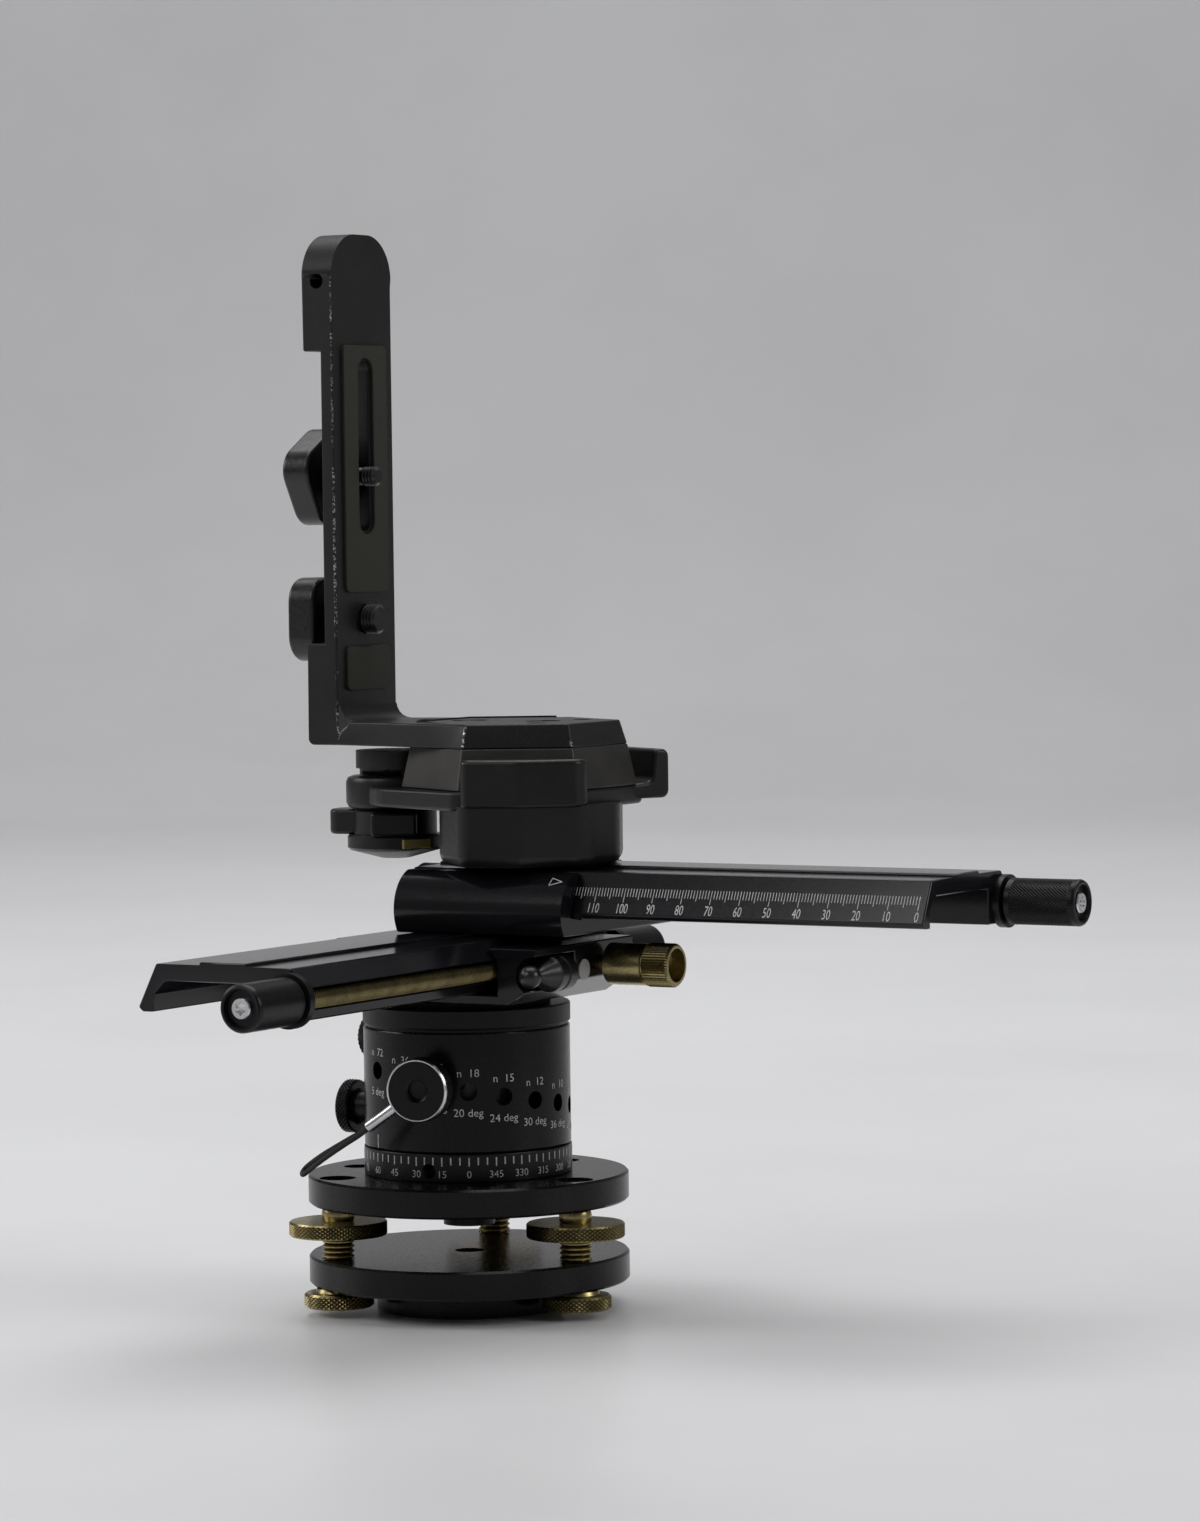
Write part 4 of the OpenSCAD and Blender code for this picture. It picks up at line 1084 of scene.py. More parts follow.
    def ring(self) -> None:
        """Dress the degree ring and round its level edges."""
        bm = copy_node("scale_ring")
        rims = [e for e in self.wall_edges(bm, self.ring_r) if abs(e.verts[0].co.z - e.verts[1].co.z) < TOUCH]
        round_edges(bm, rims, self.ring_round)
        piece(bm, "scale_ring_skin", "scale_ring", TURNED_BLACK, barrel=self.ring_r)

    def body(self) -> None:
        """Dress the body and round its two rims."""
        bm = copy_node("rotator_body")
        rims = [e for e in self.wall_edges(bm, self.radius)
                if all(min(abs(v.co.z - z) for z in (self.body_low, self.body_top)) < NEAR for v in e.verts)]
        round_edges(bm, rims, self.body_round)
        piece(bm, "rotator_body_skin", "rotator_body", BLACK_ANODISED, barrel=self.radius)

    def lock_knob(self, node: str, turn: float, height: float) -> None:
        """Turn a knurled side lock knob.

        Args:
            node: The knob's name.
            turn: Its direction, in degrees back from the front.
            height: Its height.
        """
        inner, seat = self.radius - self.lock_inside, self.radius + self.lock_clear
        start = self.radius + self.lock_gap
        end = start + self.lock_len
        rim = rows_between(self.lock_r, start + self.lock_bevel, end - self.lock_crown, self.lock_pitch)
        profile = [(0.0, inner), (self.lock_shank_r, inner), (self.lock_shank_r, seat),
                   (self.lock_neck_r, seat), *inset_rows(self.lock_neck_r, start, (0, 0.8), (-0.8, 0)),
                   (self.lock_r - self.lock_bevel, start), *rim,
                   *inset_rows(self.lock_r, end, (0.7, 0.1), (1.4, 0)), (0.0, end)]
        bm = spun(profile, self.lock_steps)
        cut_knurl(bm, Knurl.DIAMOND, rim, self.lock_steps, self.lock_knurl)
        piece(bm, f"{node}_skin", node, TURNED_BLACK, radial_frame(self.front - turn, height),
              smooth=self.lock_smooth)

    def plunger_frame(self) -> Matrix:
        """Frame of the plunger, whose +Z points outwards along it."""
        return radial_frame(self.front + (self.plunger - self.index_home) * self.index_turn,
                            self.index_z - self.plunger * self.index_drop)

    def pull_knob(self) -> None:
        """Turn the plunger's pull knob, with its socket and a bright steel ring on its rim that is a painted
        highlight.
        """
        place = self.plunger_frame()
        r, end = self.pull_r, self.pull_out
        profile = [(0.0, self.pull_in + self.pull_neck_deep), (self.pull_neck_r, self.pull_in),
                   *inset_rows(r, self.pull_in, (0.8, 0), (0, -0.8)),
                   *inset_rows(r, end, (0, 0.55), (0.5, 0)),
                   *inset_rows(self.socket_r, end, (-0.7, 0), (0, 0.6), (0, 2.0)),
                   (0.0, end - self.socket_deep)]
        piece(spun(profile), "plunger_knob_skin", "plunger_knob", TURNED_BLACK, place)
        # A thin bright steel ring over the knob's rim: a painted highlight standing in for the rim's glint
        rim = inset_rows(r, end, (-0.02, 0.6), (0.45, -0.03), (0.75, -0.02), (0.75, 0.6))
        piece(spun(rim, closed=True), "plunger_glint_ring", "plunger_knob", BRIGHT_STEEL, place, False)

    def spring(self) -> None:
        """Dress the plunger's spring and give it a mesh of its own."""
        made = dressed("plunger_spring", BRIGHT_STEEL)
        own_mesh(made)

    def build(self) -> None:
        """Build the whole rotator."""
        self.ring()
        self.ring_marks()
        self.body()
        self.body_marks()
        self.top_plate()
        self.lock_knob("pan_lock_knob", *self.pan_lock)
        self.lock_knob("side_lock_knob", *self.side_lock)
        self.pull_knob()
        dressed("plunger_bush", DARK_STEEL)
        dressed("plunger_pin", BRIGHT_STEEL)
        self.spring()
        dressed("index_drum", DARK_STEEL)
        for node in ("retaining_screw", "top_plate_screws", "carriage_stud"):
            dressed(node, BRIGHT_STEEL)
        dressed("friction_pad", BLACK_RUBBER)


@dataclass
class Tether:
    """The ferrule and the hairpin loop of cord on the plunger's knob."""

    place: Matrix
    knob_r: float
    knob_middle: float
    down: float = 35.0
    ferrule_r: float = 1.75 * MM
    ferrule_len: float = 11.0 * MM
    ferrule_inside: float = 0.4 * MM
    ferrule_crimp: float = 0.95
    ferrule_steps: int = 32
    cord_d: float = 1.6 * MM
    cord_sides: int = 3
    route: tuple[tuple[float, float, float], ...] = (
        (0, 0, 0), (0, -0.6, 4), (-0.4, -1.6, 8), (-0.8, -3, 12), (-1.2, -4.8, 16), (-1.6, -7, 20),
        (-1.9, -9.4, 24), (-2.1, -11.6, 27), (-2.2, -13.2, 29.6))
    spread: tuple[float, ...] = (0.85, 0.95, 1.2, 1.5, 1.85, 2.2, 2.5, 2.65, 2.7)
    bend: tuple[float, ...] = (36.0, 72.0, 108.0, 144.0)
    twist: float = 68.0
    smoothing: int = 4

    def frame(self) -> Matrix:
        """Frame in the knob's middle, whose +Z leaves through its rim."""
        return (self.place @ Matrix.Translation((0, 0, self.knob_middle))
                @ Matrix.Rotation(math.radians(self.down), 4, "Z") @ Matrix.Rotation(math.pi / 2, 4, "X"))

    def ferrule(self) -> None:
        """Turn the crimped ferrule."""
        r, low, high = self.ferrule_r, self.knob_r - self.ferrule_inside, self.knob_r + self.ferrule_len
        crimp_r = r * self.ferrule_crimp
        profile = [(0.0, low), (r * 0.92, low), (r, low + 0.5 * MM), (r, low + 3.0 * MM),
                   (crimp_r, low + 3.5 * MM), (crimp_r, low + 8.0 * MM), (r, low + 8.5 * MM),
                   (r, high - 0.5 * MM), (r * 0.9, high), (0.0, high)]
        piece(spun(profile, self.ferrule_steps), "tether_ferrule_skin", "tether_ferrule", BRIGHT_STEEL,
              self.frame())

    def knots(self) -> list[Vector]:
        """Points that the cord is drawn through, out to the loop's end and back.

        Returns:
            The points in the ferrule's frame.
        """
        twist = math.radians(self.twist)
        aside = Vector((math.cos(twist), math.sin(twist), 0.0))
        out = [(Vector(p) + aside * s) * MM for p, s in zip(self.route, self.spread)]
        back = [(Vector(p) - aside * s) * MM for p, s in zip(self.route, self.spread)]
        end = Vector(self.route[-1])
        ahead = (end - Vector(self.route[-2])).normalized() * self.spread[-1]
        side = aside * self.spread[-1]
        turns = [math.radians(a) for a in self.bend]
        bend = [(end + ahead * math.sin(a) + side * math.cos(a)) * MM for a in turns]
        return out + bend + back[::-1]

    def points(self) -> list[Vector]:
        """Points along the cord, on a smooth line through its knots.

        Returns:
            The points in the frame of the solids.
        """
        knots = self.knots()
        place = self.frame() @ Matrix.Translation((0, 0, self.knob_r + self.ferrule_len))
        padded = [knots[0]] + knots + [knots[-1]]
        fine = []
        for a, b, c, d in zip(padded, padded[1:], padded[2:], padded[3:]):
            for i in range(self.smoothing):
                t = i / self.smoothing
                fine.append(0.5 * (2 * b + (c - a) * t + (2 * a - 5 * b + 4 * c - d) * t * t
                                   + (3 * b - a - 3 * c + d) * t ** 3))
        return [place @ p for p in fine + [knots[-1]]]

    def cord(self) -> None:
        """Lay the cord as one open curve with a round section."""
        points = self.points()
        curve = bpy.data.curves.new("tether_cord_loop", "CURVE")
        curve.dimensions = "3D"
        curve.bevel_depth = self.cord_d / 2
        curve.bevel_resolution = self.cord_sides
        curve.use_fill_caps = True
        line = curve.splines.new("POLY")
        line.points.add(len(points) - 1)
        for knot, p in zip(line.points, points):
            knot.co = (*p, 1.0)
        line.use_smooth = True
        curve.materials.append(Rack.get(BLACK_BRAID))
        made = bpy.data.objects.new("tether_cord_loop", curve)
        bpy.context.scene.collection.objects.link(made)
        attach(made, NODE_BODY["tether_cord"])
        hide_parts("tether_cord")

    def build(self) -> None:
        """Build the ferrule and the cord."""
        self.cord()
        self.ferrule()


@dataclass
class Slide:
    """One screw-driven slide: carriage, rail, lead screw and their small parts."""

    side: str
    origin: Vector
    forward: Vector
    lateral: Vector
    front: float
    knob_cut: Knurl
    up: Vector = field(default_factory=lambda: Vector((0, 0, 1)))
    rail_len: float = 180.0 * MM
    rail_top: float = 19.6 * MM
    rail_half: float = 23.5 * MM
    leg_flare: float = 6.3 * MM
    leg_low: float = 6.9 * MM
    edge_round: float = 0.5 * MM
    edge_least: float = 4.0 * MM
    end_plate: float = 2.5 * MM
    clear: float = 0.3 * MM
    lead_u: float = 24.0 * MM
    lead_w: float = 10.3 * MM
    lead_r: float = 3.15 * MM
    lead_pitch: float = 1.0 * MM
    lead_depth: float = 0.4 * MM
    lead_steps: int = 28
    lead_smooth: float = 20.0
    journal_r: float = 2.5 * MM
    journal_len: float = 12.3 * MM
    knob_r: float = 7.1 * MM
    knob_len: float = 24.0 * MM
    knob_bore_r: float = 2.52 * MM
    knob_bore_len: float = 12.0 * MM
    knob_bevel: float = 0.8 * MM
    knob_steps: int = 96
    knob_pitch: float = 0.6 * MM
    knob_knurl: float = 0.22 * MM
    grip_start: float = 2.2 * MM
    grip_end: float = 2.0 * MM
    recess: float = 1.6 * MM
    recess_wall: float = 1.9 * MM
    recess_bore_r: float = 1.5 * MM
    socket_in: float = 1.4 * MM
    socket_out: float = 1.8 * MM
    socket_low: float = -1.3 * MM
    lobes: int = 6
    lobe_depth: float = 0.13
    pin_u: float = 42.0 * MM
    pin_fall: float = 1.0 * MM
    pin_ball_r: float = 3.5 * MM
    pin_ball_x: float = 31.0 * MM
    pin_stem_r: float = 1.7 * MM
    small_steps: int = 48
    lock_x: float = -11.5 * MM
    lock_tip: float = 27.45 * MM
    lock_root: float = 45.5 * MM
    lock_end: float = 69.0 * MM
    lock_plain_r: float = 6.5 * MM
    lock_plain_len: float = 13.6 * MM
    lock_grip_r: float = 6.8 * MM
    lock_groove: float = 0.9 * MM
    lock_bevel: float = 0.7 * MM
    lock_hollow_r: float = 5.2 * MM
    lock_hollow: float = 5.0 * MM
    lock_shank_r: float = 2.5 * MM
    lock_shank_gap: float = 0.2 * MM
    lock_pitch: float = 1.0 * MM
    lock_knurl: float = 0.4 * MM
    lock_smooth: float = 24.0
    zero_inset: float = 2.5 * MM
    scale_len: int = 125
    tick_top: float = 5.3 * MM
    tick_wide: float = 0.2 * MM
    tick_ten: float = 4.6 * MM
    tick_five: float = 3.6 * MM
    tick_one: float = 2.75 * MM
    number_high: float = 3.3 * MM
    number_fall: float = 6.8 * MM
    number_narrow: float = 0.63
    cheek_centre: tuple[float, float] = (-23.7 * MM, 7.0 * MM)
    cheek_r: float = 12.8 * MM
    pointer_x: float = 26.0 * MM
    pointer_lean: float = 40.0
    pointer_wide: float = 0.25 * MM
    pointer_steps: int = 6

    def at(self, x: float, u: float, w: float) -> Vector:
        """Place a point of the slide: x along the rail, u towards the lead screw and w up."""
        return self.origin + self.forward * x + self.lateral * u + self.up * w

    def axis_frame(self, x: float, u: float, w: float, along: Vector) -> Matrix:
        """Frame at a point of the slide, whose +Z runs along a level direction."""
        turn = Matrix((-self.up, self.up.cross(along), along)).transposed()
        return Matrix.Translation(self.at(x, u, w)) @ turn.to_4x4()

    def name(self, part: str) -> str:
        """Full name of one of the slide's solids."""
        return f"{self.side}_{part}"

    def turned(self, bm: BMesh, part: str, finish: Finish, place: Matrix | None = None,
               smooth: float = SMOOTH_ANGLE) -> None:
        """Finish a mesh as the piece that stands for one of the slide's solids.

        Args:
            bm: The mesh, which is used up.
            part: Which solid.
            finish: Its finish.
            place: Where the mesh goes.
            smooth: Greatest angle that is shaded smooth, in degrees.
        """
        piece(bm, f"{self.name(part)}_skin", self.name(part), finish, place, smooth=smooth)

    def lead_screw(self) -> None:
        """Turn the brass lead screw with its thread and journals."""
        reach = self.end_plate + self.journal_len
        tail = -self.rail_len - reach
        low, high = self.clear - self.rail_len, -self.clear
        profile = [(0.0, tail), (self.journal_r, tail), (self.journal_r, low),
                   *thread_rows(self.lead_r, low, high, self.lead_pitch, self.lead_depth),
                   (self.journal_r, high), (self.journal_r, reach), (0.0, reach)]
        bm = spun(profile, self.lead_steps)
        # The thread's roots get painted shade, with some patina
        shade_thread_roots(bm, self.lead_r, -self.rail_len, 0.0)
        place = self.axis_frame(self.front, self.lead_u, self.lead_w, self.forward)
        # The lead screw's darker brass is painted shade
        self.turned(bm, "lead_screw", SHADED_BRASS, place, self.lead_smooth)

    def knob(self, part: str, start: float, along: Vector) -> None:
        """Turn a lead-screw knob with its recessed end.

        Args:
            part: Which knob.
            start: Place of its first face along the rail.
            along: Which way it points.
        """
        r, end = self.knob_r, self.knob_len
        floor = end - self.recess
        rim = rows_between(r, self.grip_start, end - self.grip_end, self.knob_pitch)
        profile = [(self.knob_bore_r, 0.0), (r - self.knob_bevel, 0.0), (r, self.knob_bevel), *rim,
                   *inset_rows(r, end, (0, 0.9), (0.35, 0.25), (0.9, 0), (1.5, 0.1)),
                   (r - self.recess_wall, floor), (self.recess_bore_r, floor),
                   (self.recess_bore_r, self.knob_bore_len), (self.knob_bore_r, self.knob_bore_len)]
        bm = spun(profile, self.knob_steps, closed=True)
        if self.knob_cut is not Knurl.NONE:
            cut_knurl(bm, self.knob_cut, rim, self.knob_steps, self.knob_knurl)
        self.turned(bm, part, TURNED_BLACK, self.axis_frame(start, self.lead_u, self.lead_w, along))

    def knob_screws(self) -> None:
        """Make the two screws in the knobs, each with a six-lobed socket."""
        bm = bmesh.new()
        reach = self.end_plate + self.clear + self.knob_len
        for start, along in ((self.front + reach, self.forward),
                             (self.front - self.rail_len - reach, -self.forward)):
            head = spun(in_mm((0, -11), (1.45, -11), (1.45, -1.6), (3.2, -1.6), (3.2, -0.7), (2.9, -0.3),
                              (1.75, -0.3), (1.45, -1.1), (0, -1.25)), self.small_steps)
            for vert in head.verts:
                if self.socket_in < reach_of(vert) < self.socket_out and vert.co.z > self.socket_low:
                    turn = math.atan2(vert.co.y, vert.co.x)
                    vert.co.xy *= 1.0 + self.lobe_depth * math.cos(self.lobes * turn)
            merge(bm, head, self.axis_frame(start, self.lead_u, self.lead_w, along))
        self.turned(bm, "knob_screws", BRIGHT_STEEL)

    def release_pin(self) -> None:
        """Turn the release pin: collar, cone, stem and ball."""
        profile = in_mm((0, 11), (5.2, 11), (5.5, 11.4), (5.5, 15.4), (4.9, 15.8), (4.9, 16.6), (5.5, 17),
                        (5.5, 20.4), (4.6, 21.6), (3.4, 25), (2.2, 27))
        profile += ball_rows(self.pin_ball_r, self.pin_ball_x, -math.acos(self.pin_stem_r / self.pin_ball_r))
        place = self.axis_frame(0.0, self.pin_u, self.lead_w - self.pin_fall, self.forward)
        self.turned(spun(profile, self.small_steps), "release_pin", BLACK_PLASTIC, place)

    def lock_knob(self) -> None:
        """Turn the brass lock knob: a plain barrel, a straight-knurled grip and a hollow end."""
        plain, root, end = self.lock_plain_r, self.lock_root, self.lock_end
        split = root + self.lock_plain_len
        rim = rows_between(self.lock_grip_r, split + self.lock_groove, end - self.lock_bevel, self.lock_pitch)
        profile = [(0.0, self.lock_tip), (self.lock_shank_r, self.lock_tip),
                   (self.lock_shank_r, root - self.lock_shank_gap),
                   *inset_rows(plain, root, (1.0, 0), (0, -0.7)),
                   *inset_rows(plain, split, (0, 0), (0.5, -0.25), (0.5, -0.6)), *rim,
                   (self.lock_grip_r - self.lock_bevel, end),
                   *inset_rows(self.lock_hollow_r, end, (0, 0), (0, 4.5)), (0.0, end - self.lock_hollow)]
        bm = spun(profile, self.knob_steps)
        cut_knurl(bm, Knurl.STRAIGHT, rim, self.knob_steps, self.lock_knurl)
        place = self.axis_frame(self.lock_x, 0.0, self.lead_w, self.lateral)
        self.turned(bm, "lock_knob", AGED_BRASS, place, self.lock_smooth)

    def scale(self) -> None:
        """Print the millimetre scale on the rail's flared side."""
        slope = Vector((-self.leg_flare, self.leg_low - self.rail_top)).normalized()
        edge = self.at(0.0, -self.rail_half, self.rail_top)
        down = self.lateral * slope.x + self.up * slope.y
        normal = self.lateral * slope.y - self.up * slope.x

        def put(x: float, y: float, lift: float) -> Vector:
            """Put a flat point on the flared side; y runs up the slope from the tick tops."""
            return edge + self.forward * x + down * (self.tick_top - y) + normal * (lift + INK_LIFT)

        bm = bmesh.new()
        zero = self.front - self.zero_inset
        for mark in range(self.scale_len + 1):
            reach = self.tick_ten if mark % 10 == 0 else self.tick_five if mark % 5 == 0 else self.tick_one
            x = zero - mark * MM
            stroke(bm, (x, 0.0), (x, -reach), self.tick_wide, put)
            if mark % 10 == 0:
                lettering(bm, str(mark), self.number_high, lambda a, b, lift, x=x: put(
                    x + self.number_narrow * a, b - self.number_fall, lift))
        piece(bm, f"{self.side}_rail_scale", self.name("rail"), WHITE_INK, replaces=False)

    def pointer(self) -> None:
        """Print the index triangle on the carriage's round cheek."""
        lean = math.radians(self.pointer_lean)
        radius = self.cheek_r + INK_LIFT

        def put(x: float, y: float, lift: float) -> Vector:
            """Put a flat point on the round cheek; y runs up."""
            turn = lean - y / radius
            return self.at(self.pointer_x + x, self.cheek_centre[0] - (radius + lift) * math.sin(turn),
                           self.cheek_centre[1] + (radius + lift) * math.cos(turn))

        bm = bmesh.new()
        corners = in_mm((-2, 1.6), (-2, -1.6), (2, 0))
        for start, end in zip(corners, corners[1:] + corners[:1]):
            stroke(bm, start, end, self.pointer_wide, put, self.pointer_steps)
        piece(bm, f"{self.side}_pointer", self.name("carriage"), WHITE_INK, replaces=False)

    def build(self) -> None:
        """Build the whole slide."""
        for part in ("rail", "carriage"):
            dressed(self.name(part), RAIL_ANODISED, self.edge_round, self.edge_least)
        dressed(self.name("end_plates"), TURNED_BLACK)
        self.lead_screw()
        gap = self.end_plate + self.clear
        self.knob("front_knob", self.front + gap, self.forward)
        self.knob("rear_knob", self.front - self.rail_len - gap, -self.forward)
        self.knob_screws()
        self.release_pin()
        self.lock_knob()
        self.scale()
        self.pointer()
        dressed(self.name("pivot_pin"), SATIN_STEEL)
        dressed(self.name("half_nut"), AGED_BRASS)
        dressed(self.name("rail_bolt"), DARK_STEEL)


@dataclass(frozen=True)
class LeverArm:
    """One arm of the clamp's lever, which leaves the hub at an angle in degrees."""

    turn: float
    reach: float
    wide: float
    high: float
    corner: float


@dataclass
class Clamp:
    """The quick-release clamp with its lever, cam, catch and hexagonal plate."""

    centre: Vector = field(default_factory=lambda: Vector((11.0, 15.5)) * MM)
    hex_in: float = 32.0 * MM
    hex_low: float = 162.0 * MM
    hex_round: float = 0.5 * MM
    hex_least: float = 4.0 * MM
    low: float = 138.6 * MM
    low_round: float = 3.6 * MM
    platform: float = 157.6 * MM
    flange_edge: float = 6.9 * MM
    flange_under: float = 1.5 * MM
    flange_in: float = 9.0 * MM
    flange_wide: float = 8.5 * MM
    flange_tail: float = 1.0 * MM
    flange_corner: float = 3.0 * MM
    flange_top_round: float = 0.9 * MM
    flange_low_round: float = 1.2 * MM
    nose_turn: float = -60.0
    nose_left: float = -17.5 * MM
    nose_ridge: float = 1.0 * MM
    nose_right: float = 21.5 * MM
    nose_out: float = 5.0 * MM
    nose_rise: float = 4.5 * MM
    nose_in: float = 0.2 * MM
    nose_under: float = 0.4 * MM
    nose_top_round: float = 1.5 * MM
    nose_low_round: float = 1.0 * MM
    block_inset: float = 1.0 * MM
    jaw_turn: float = 60.0
    jaw_top: float = 172.0 * MM
    jaw_above: float = 1.0 * MM
    jaw_half: float = 19.0 * MM
    jaw_round: float = 1.2 * MM
    pivot: float = -46.0 * MM
    boss_r: float = 15.5 * MM
    boss_low: float = 154.6 * MM
    boss_top: float = 165.0 * MM
    hub_r: float = 15.2 * MM
    lever_low: float = 146.3 * MM
    lever_top: float = 154.3 * MM
    lever_round: float = 1.1 * MM
    arms: tuple[LeverArm, ...] = (
        LeverArm(115.0, 50.0 * MM, 14.0 * MM, 8.0 * MM, 4.0 * MM),
        LeverArm(190.0, 21.2 * MM, 12.0 * MM, 8.0 * MM, 4.0 * MM),
        LeverArm(-60.0, 16.2 * MM, 14.6 * MM, 7.5 * MM, 1.2 * MM))
    catch_round: float = 0.2 * MM
    catch_least: float = 1.0 * MM

    def nose_at(self, out: float, side: float) -> tuple[float, float]:
        """Turn a point of the nose, outwards and sideways, into one about the plate's axis."""
        turn = math.radians(self.nose_turn)
        return (out * math.cos(turn) - side * math.sin(turn), out * math.sin(turn) + side * math.cos(turn))

    def block(self) -> BMesh:
        """Build the block under the plate, which ends in the nose's ridge.

        Returns:
            The solid about the plate's axis.
        """
        out = self.hex_in + self.nose_out - self.block_inset
        outline = [self.nose_at(out, self.nose_left), self.nose_at(out + self.nose_rise, self.nose_ridge),
                   self.nose_at(out, self.nose_right),
                   *in_mm((39, -5), (29, 14.5), (19, 24.5), (-11, 24.5), (-16, 14.5), (-16, -22),
                          (-11, -29.5))]
        corners = [width * MM for width in (3, 0.8, 4, 3, 3, 2, 2, 2, 3, 3)]
        return prism(outline, self.low, self.platform, corners, bottom=self.low_round)

    def flange(self) -> BMesh:
        """Build the flange, the same on both sides of the line to the pivot.

        Returns:
            The solid about the plate's axis.
        """
        h, edge = self.hex_in, self.flange_edge
        half = [(h, h / 2 + edge), (0.0, h + edge),
                (self.pivot + self.flange_in, self.boss_r + self.flange_wide),
                (self.pivot, self.boss_r + self.flange_tail)]
        outline = [(x, -y) for x, y in half[::-1]] + half
        return prism(outline, self.platform - self.flange_under, self.hex_low, self.flange_corner,
                     self.flange_top_round, self.flange_low_round)

    def boss(self) -> BMesh:
        """Turn the round boss over the lever's pivot.

        Returns:
            The solid about the pivot.
        """
        r, low, top = self.boss_r, self.boss_low, self.boss_top
        return spun([(0.0, low), *inset_rows(r, low, (2, 0), (0.7, -0.6), (0, -2)),
                     *inset_rows(r, top, (0, 2), (0.6, 0.6), (2, 0)), (0.0, top)])

    def nose(self) -> BMesh:
        """Build the nose, the jaw on the lever's side.

        Returns:
            The solid, with +X outwards.
        """
        inner, out = self.hex_in + self.nose_in, self.hex_in + self.nose_out
        outline = [(inner, self.nose_left), (out, self.nose_left), (out + self.nose_rise, self.nose_ridge),
                   (out, self.nose_right), (inner, self.nose_right)]
        corners = [width * MM for width in (0, 2.4, 2.0, 4.4, 0)]
        return prism(outline, self.platform - self.nose_under, self.jaw_top, corners, self.nose_top_round,
                     self.nose_low_round)

    def jaw(self) -> BMesh:
        """Build the jaw on the far side from its section.

        Returns:
            The solid on its side, with +X outwards and +Y for up.
        """
        low, seat, top = self.platform, self.hex_low, self.jaw_top + self.jaw_above
        section = ((-4.0, low), (11.5, low), (11.5, top), (6.2, top), (5.2, seat + 1.0 * MM),
                   (-4.0, seat - 0.1 * MM))
        outline = [(self.hex_in + out * MM, height) for out, height in section]
        corners = [width * MM for width in (0, 2.4, 2.4, 1.2, 1.6, 0)]
        return prism(outline, -self.jaw_half, self.jaw_half, corners, self.jaw_round, self.jaw_round)

    def body(self) -> None:
        """Build the body: block, flange, boss, nose and the jaw on the far side."""
        bm = bmesh.new()
        here = Matrix.Translation((self.centre.x, self.centre.y, 0.0))
        nose_turn = Matrix.Rotation(math.radians(self.nose_turn), 4, "Z")
        jaw_turn = Matrix.Rotation(math.radians(self.jaw_turn), 4, "Z")
        merge(bm, self.block(), here)
        merge(bm, self.flange(), here)
        merge(bm, self.boss(), here @ Matrix.Translation((self.pivot, 0, 0)))
        merge(bm, self.nose(), here @ nose_turn)
        merge(bm, self.jaw(), here @ jaw_turn @ Matrix.Rotation(math.pi / 2, 4, "X"))
        piece(bm, "clamp_body_skin", "clamp_body", CAST_BLACK)

    def lever(self) -> None:
        """Build the lever: hub, bowl, handle, tab and lug."""
        r, low, top = self.hub_r, self.lever_low, self.lever_top
        bm = spun([(0.0, low - 7.4 * MM), (0.3 * r, low - 7.5 * MM),
                   *inset_rows(r, low, (0.9, 4.9), (0, 4.0), (0, 0.6), (0.5, 0), (2, 0)),
                   *inset_rows(r, top, (2, 0.5), (2.5, 0)), (0.0, top)])
        for arm in self.arms:
            half = arm.wide / 2
            bar = [(0.0, -half), (arm.reach, -half), (arm.reach, half), (0.0, half)]
            merge(bm, prism(bar, low, low + arm.high, (0.0, arm.corner, arm.corner, 0.0), self.lever_round,
                            self.lever_round), Matrix.Rotation(math.radians(arm.turn), 4, "Z"))
        piece(bm, "clamp_lever_skin", "clamp_lever", CAST_BLACK,
              Matrix.Translation((self.centre.x + self.pivot, self.centre.y, 0.0)))

    def build(self) -> None:
        """Build the whole clamp."""
        self.body()
        self.lever()
        dressed("clamp_cam", DARK_STEEL)
        dressed("safety_catch", SATIN_BRASS, self.catch_round, self.catch_least)
        dressed("hex_plate", GREY_ANODISED, self.hex_round, self.hex_least)


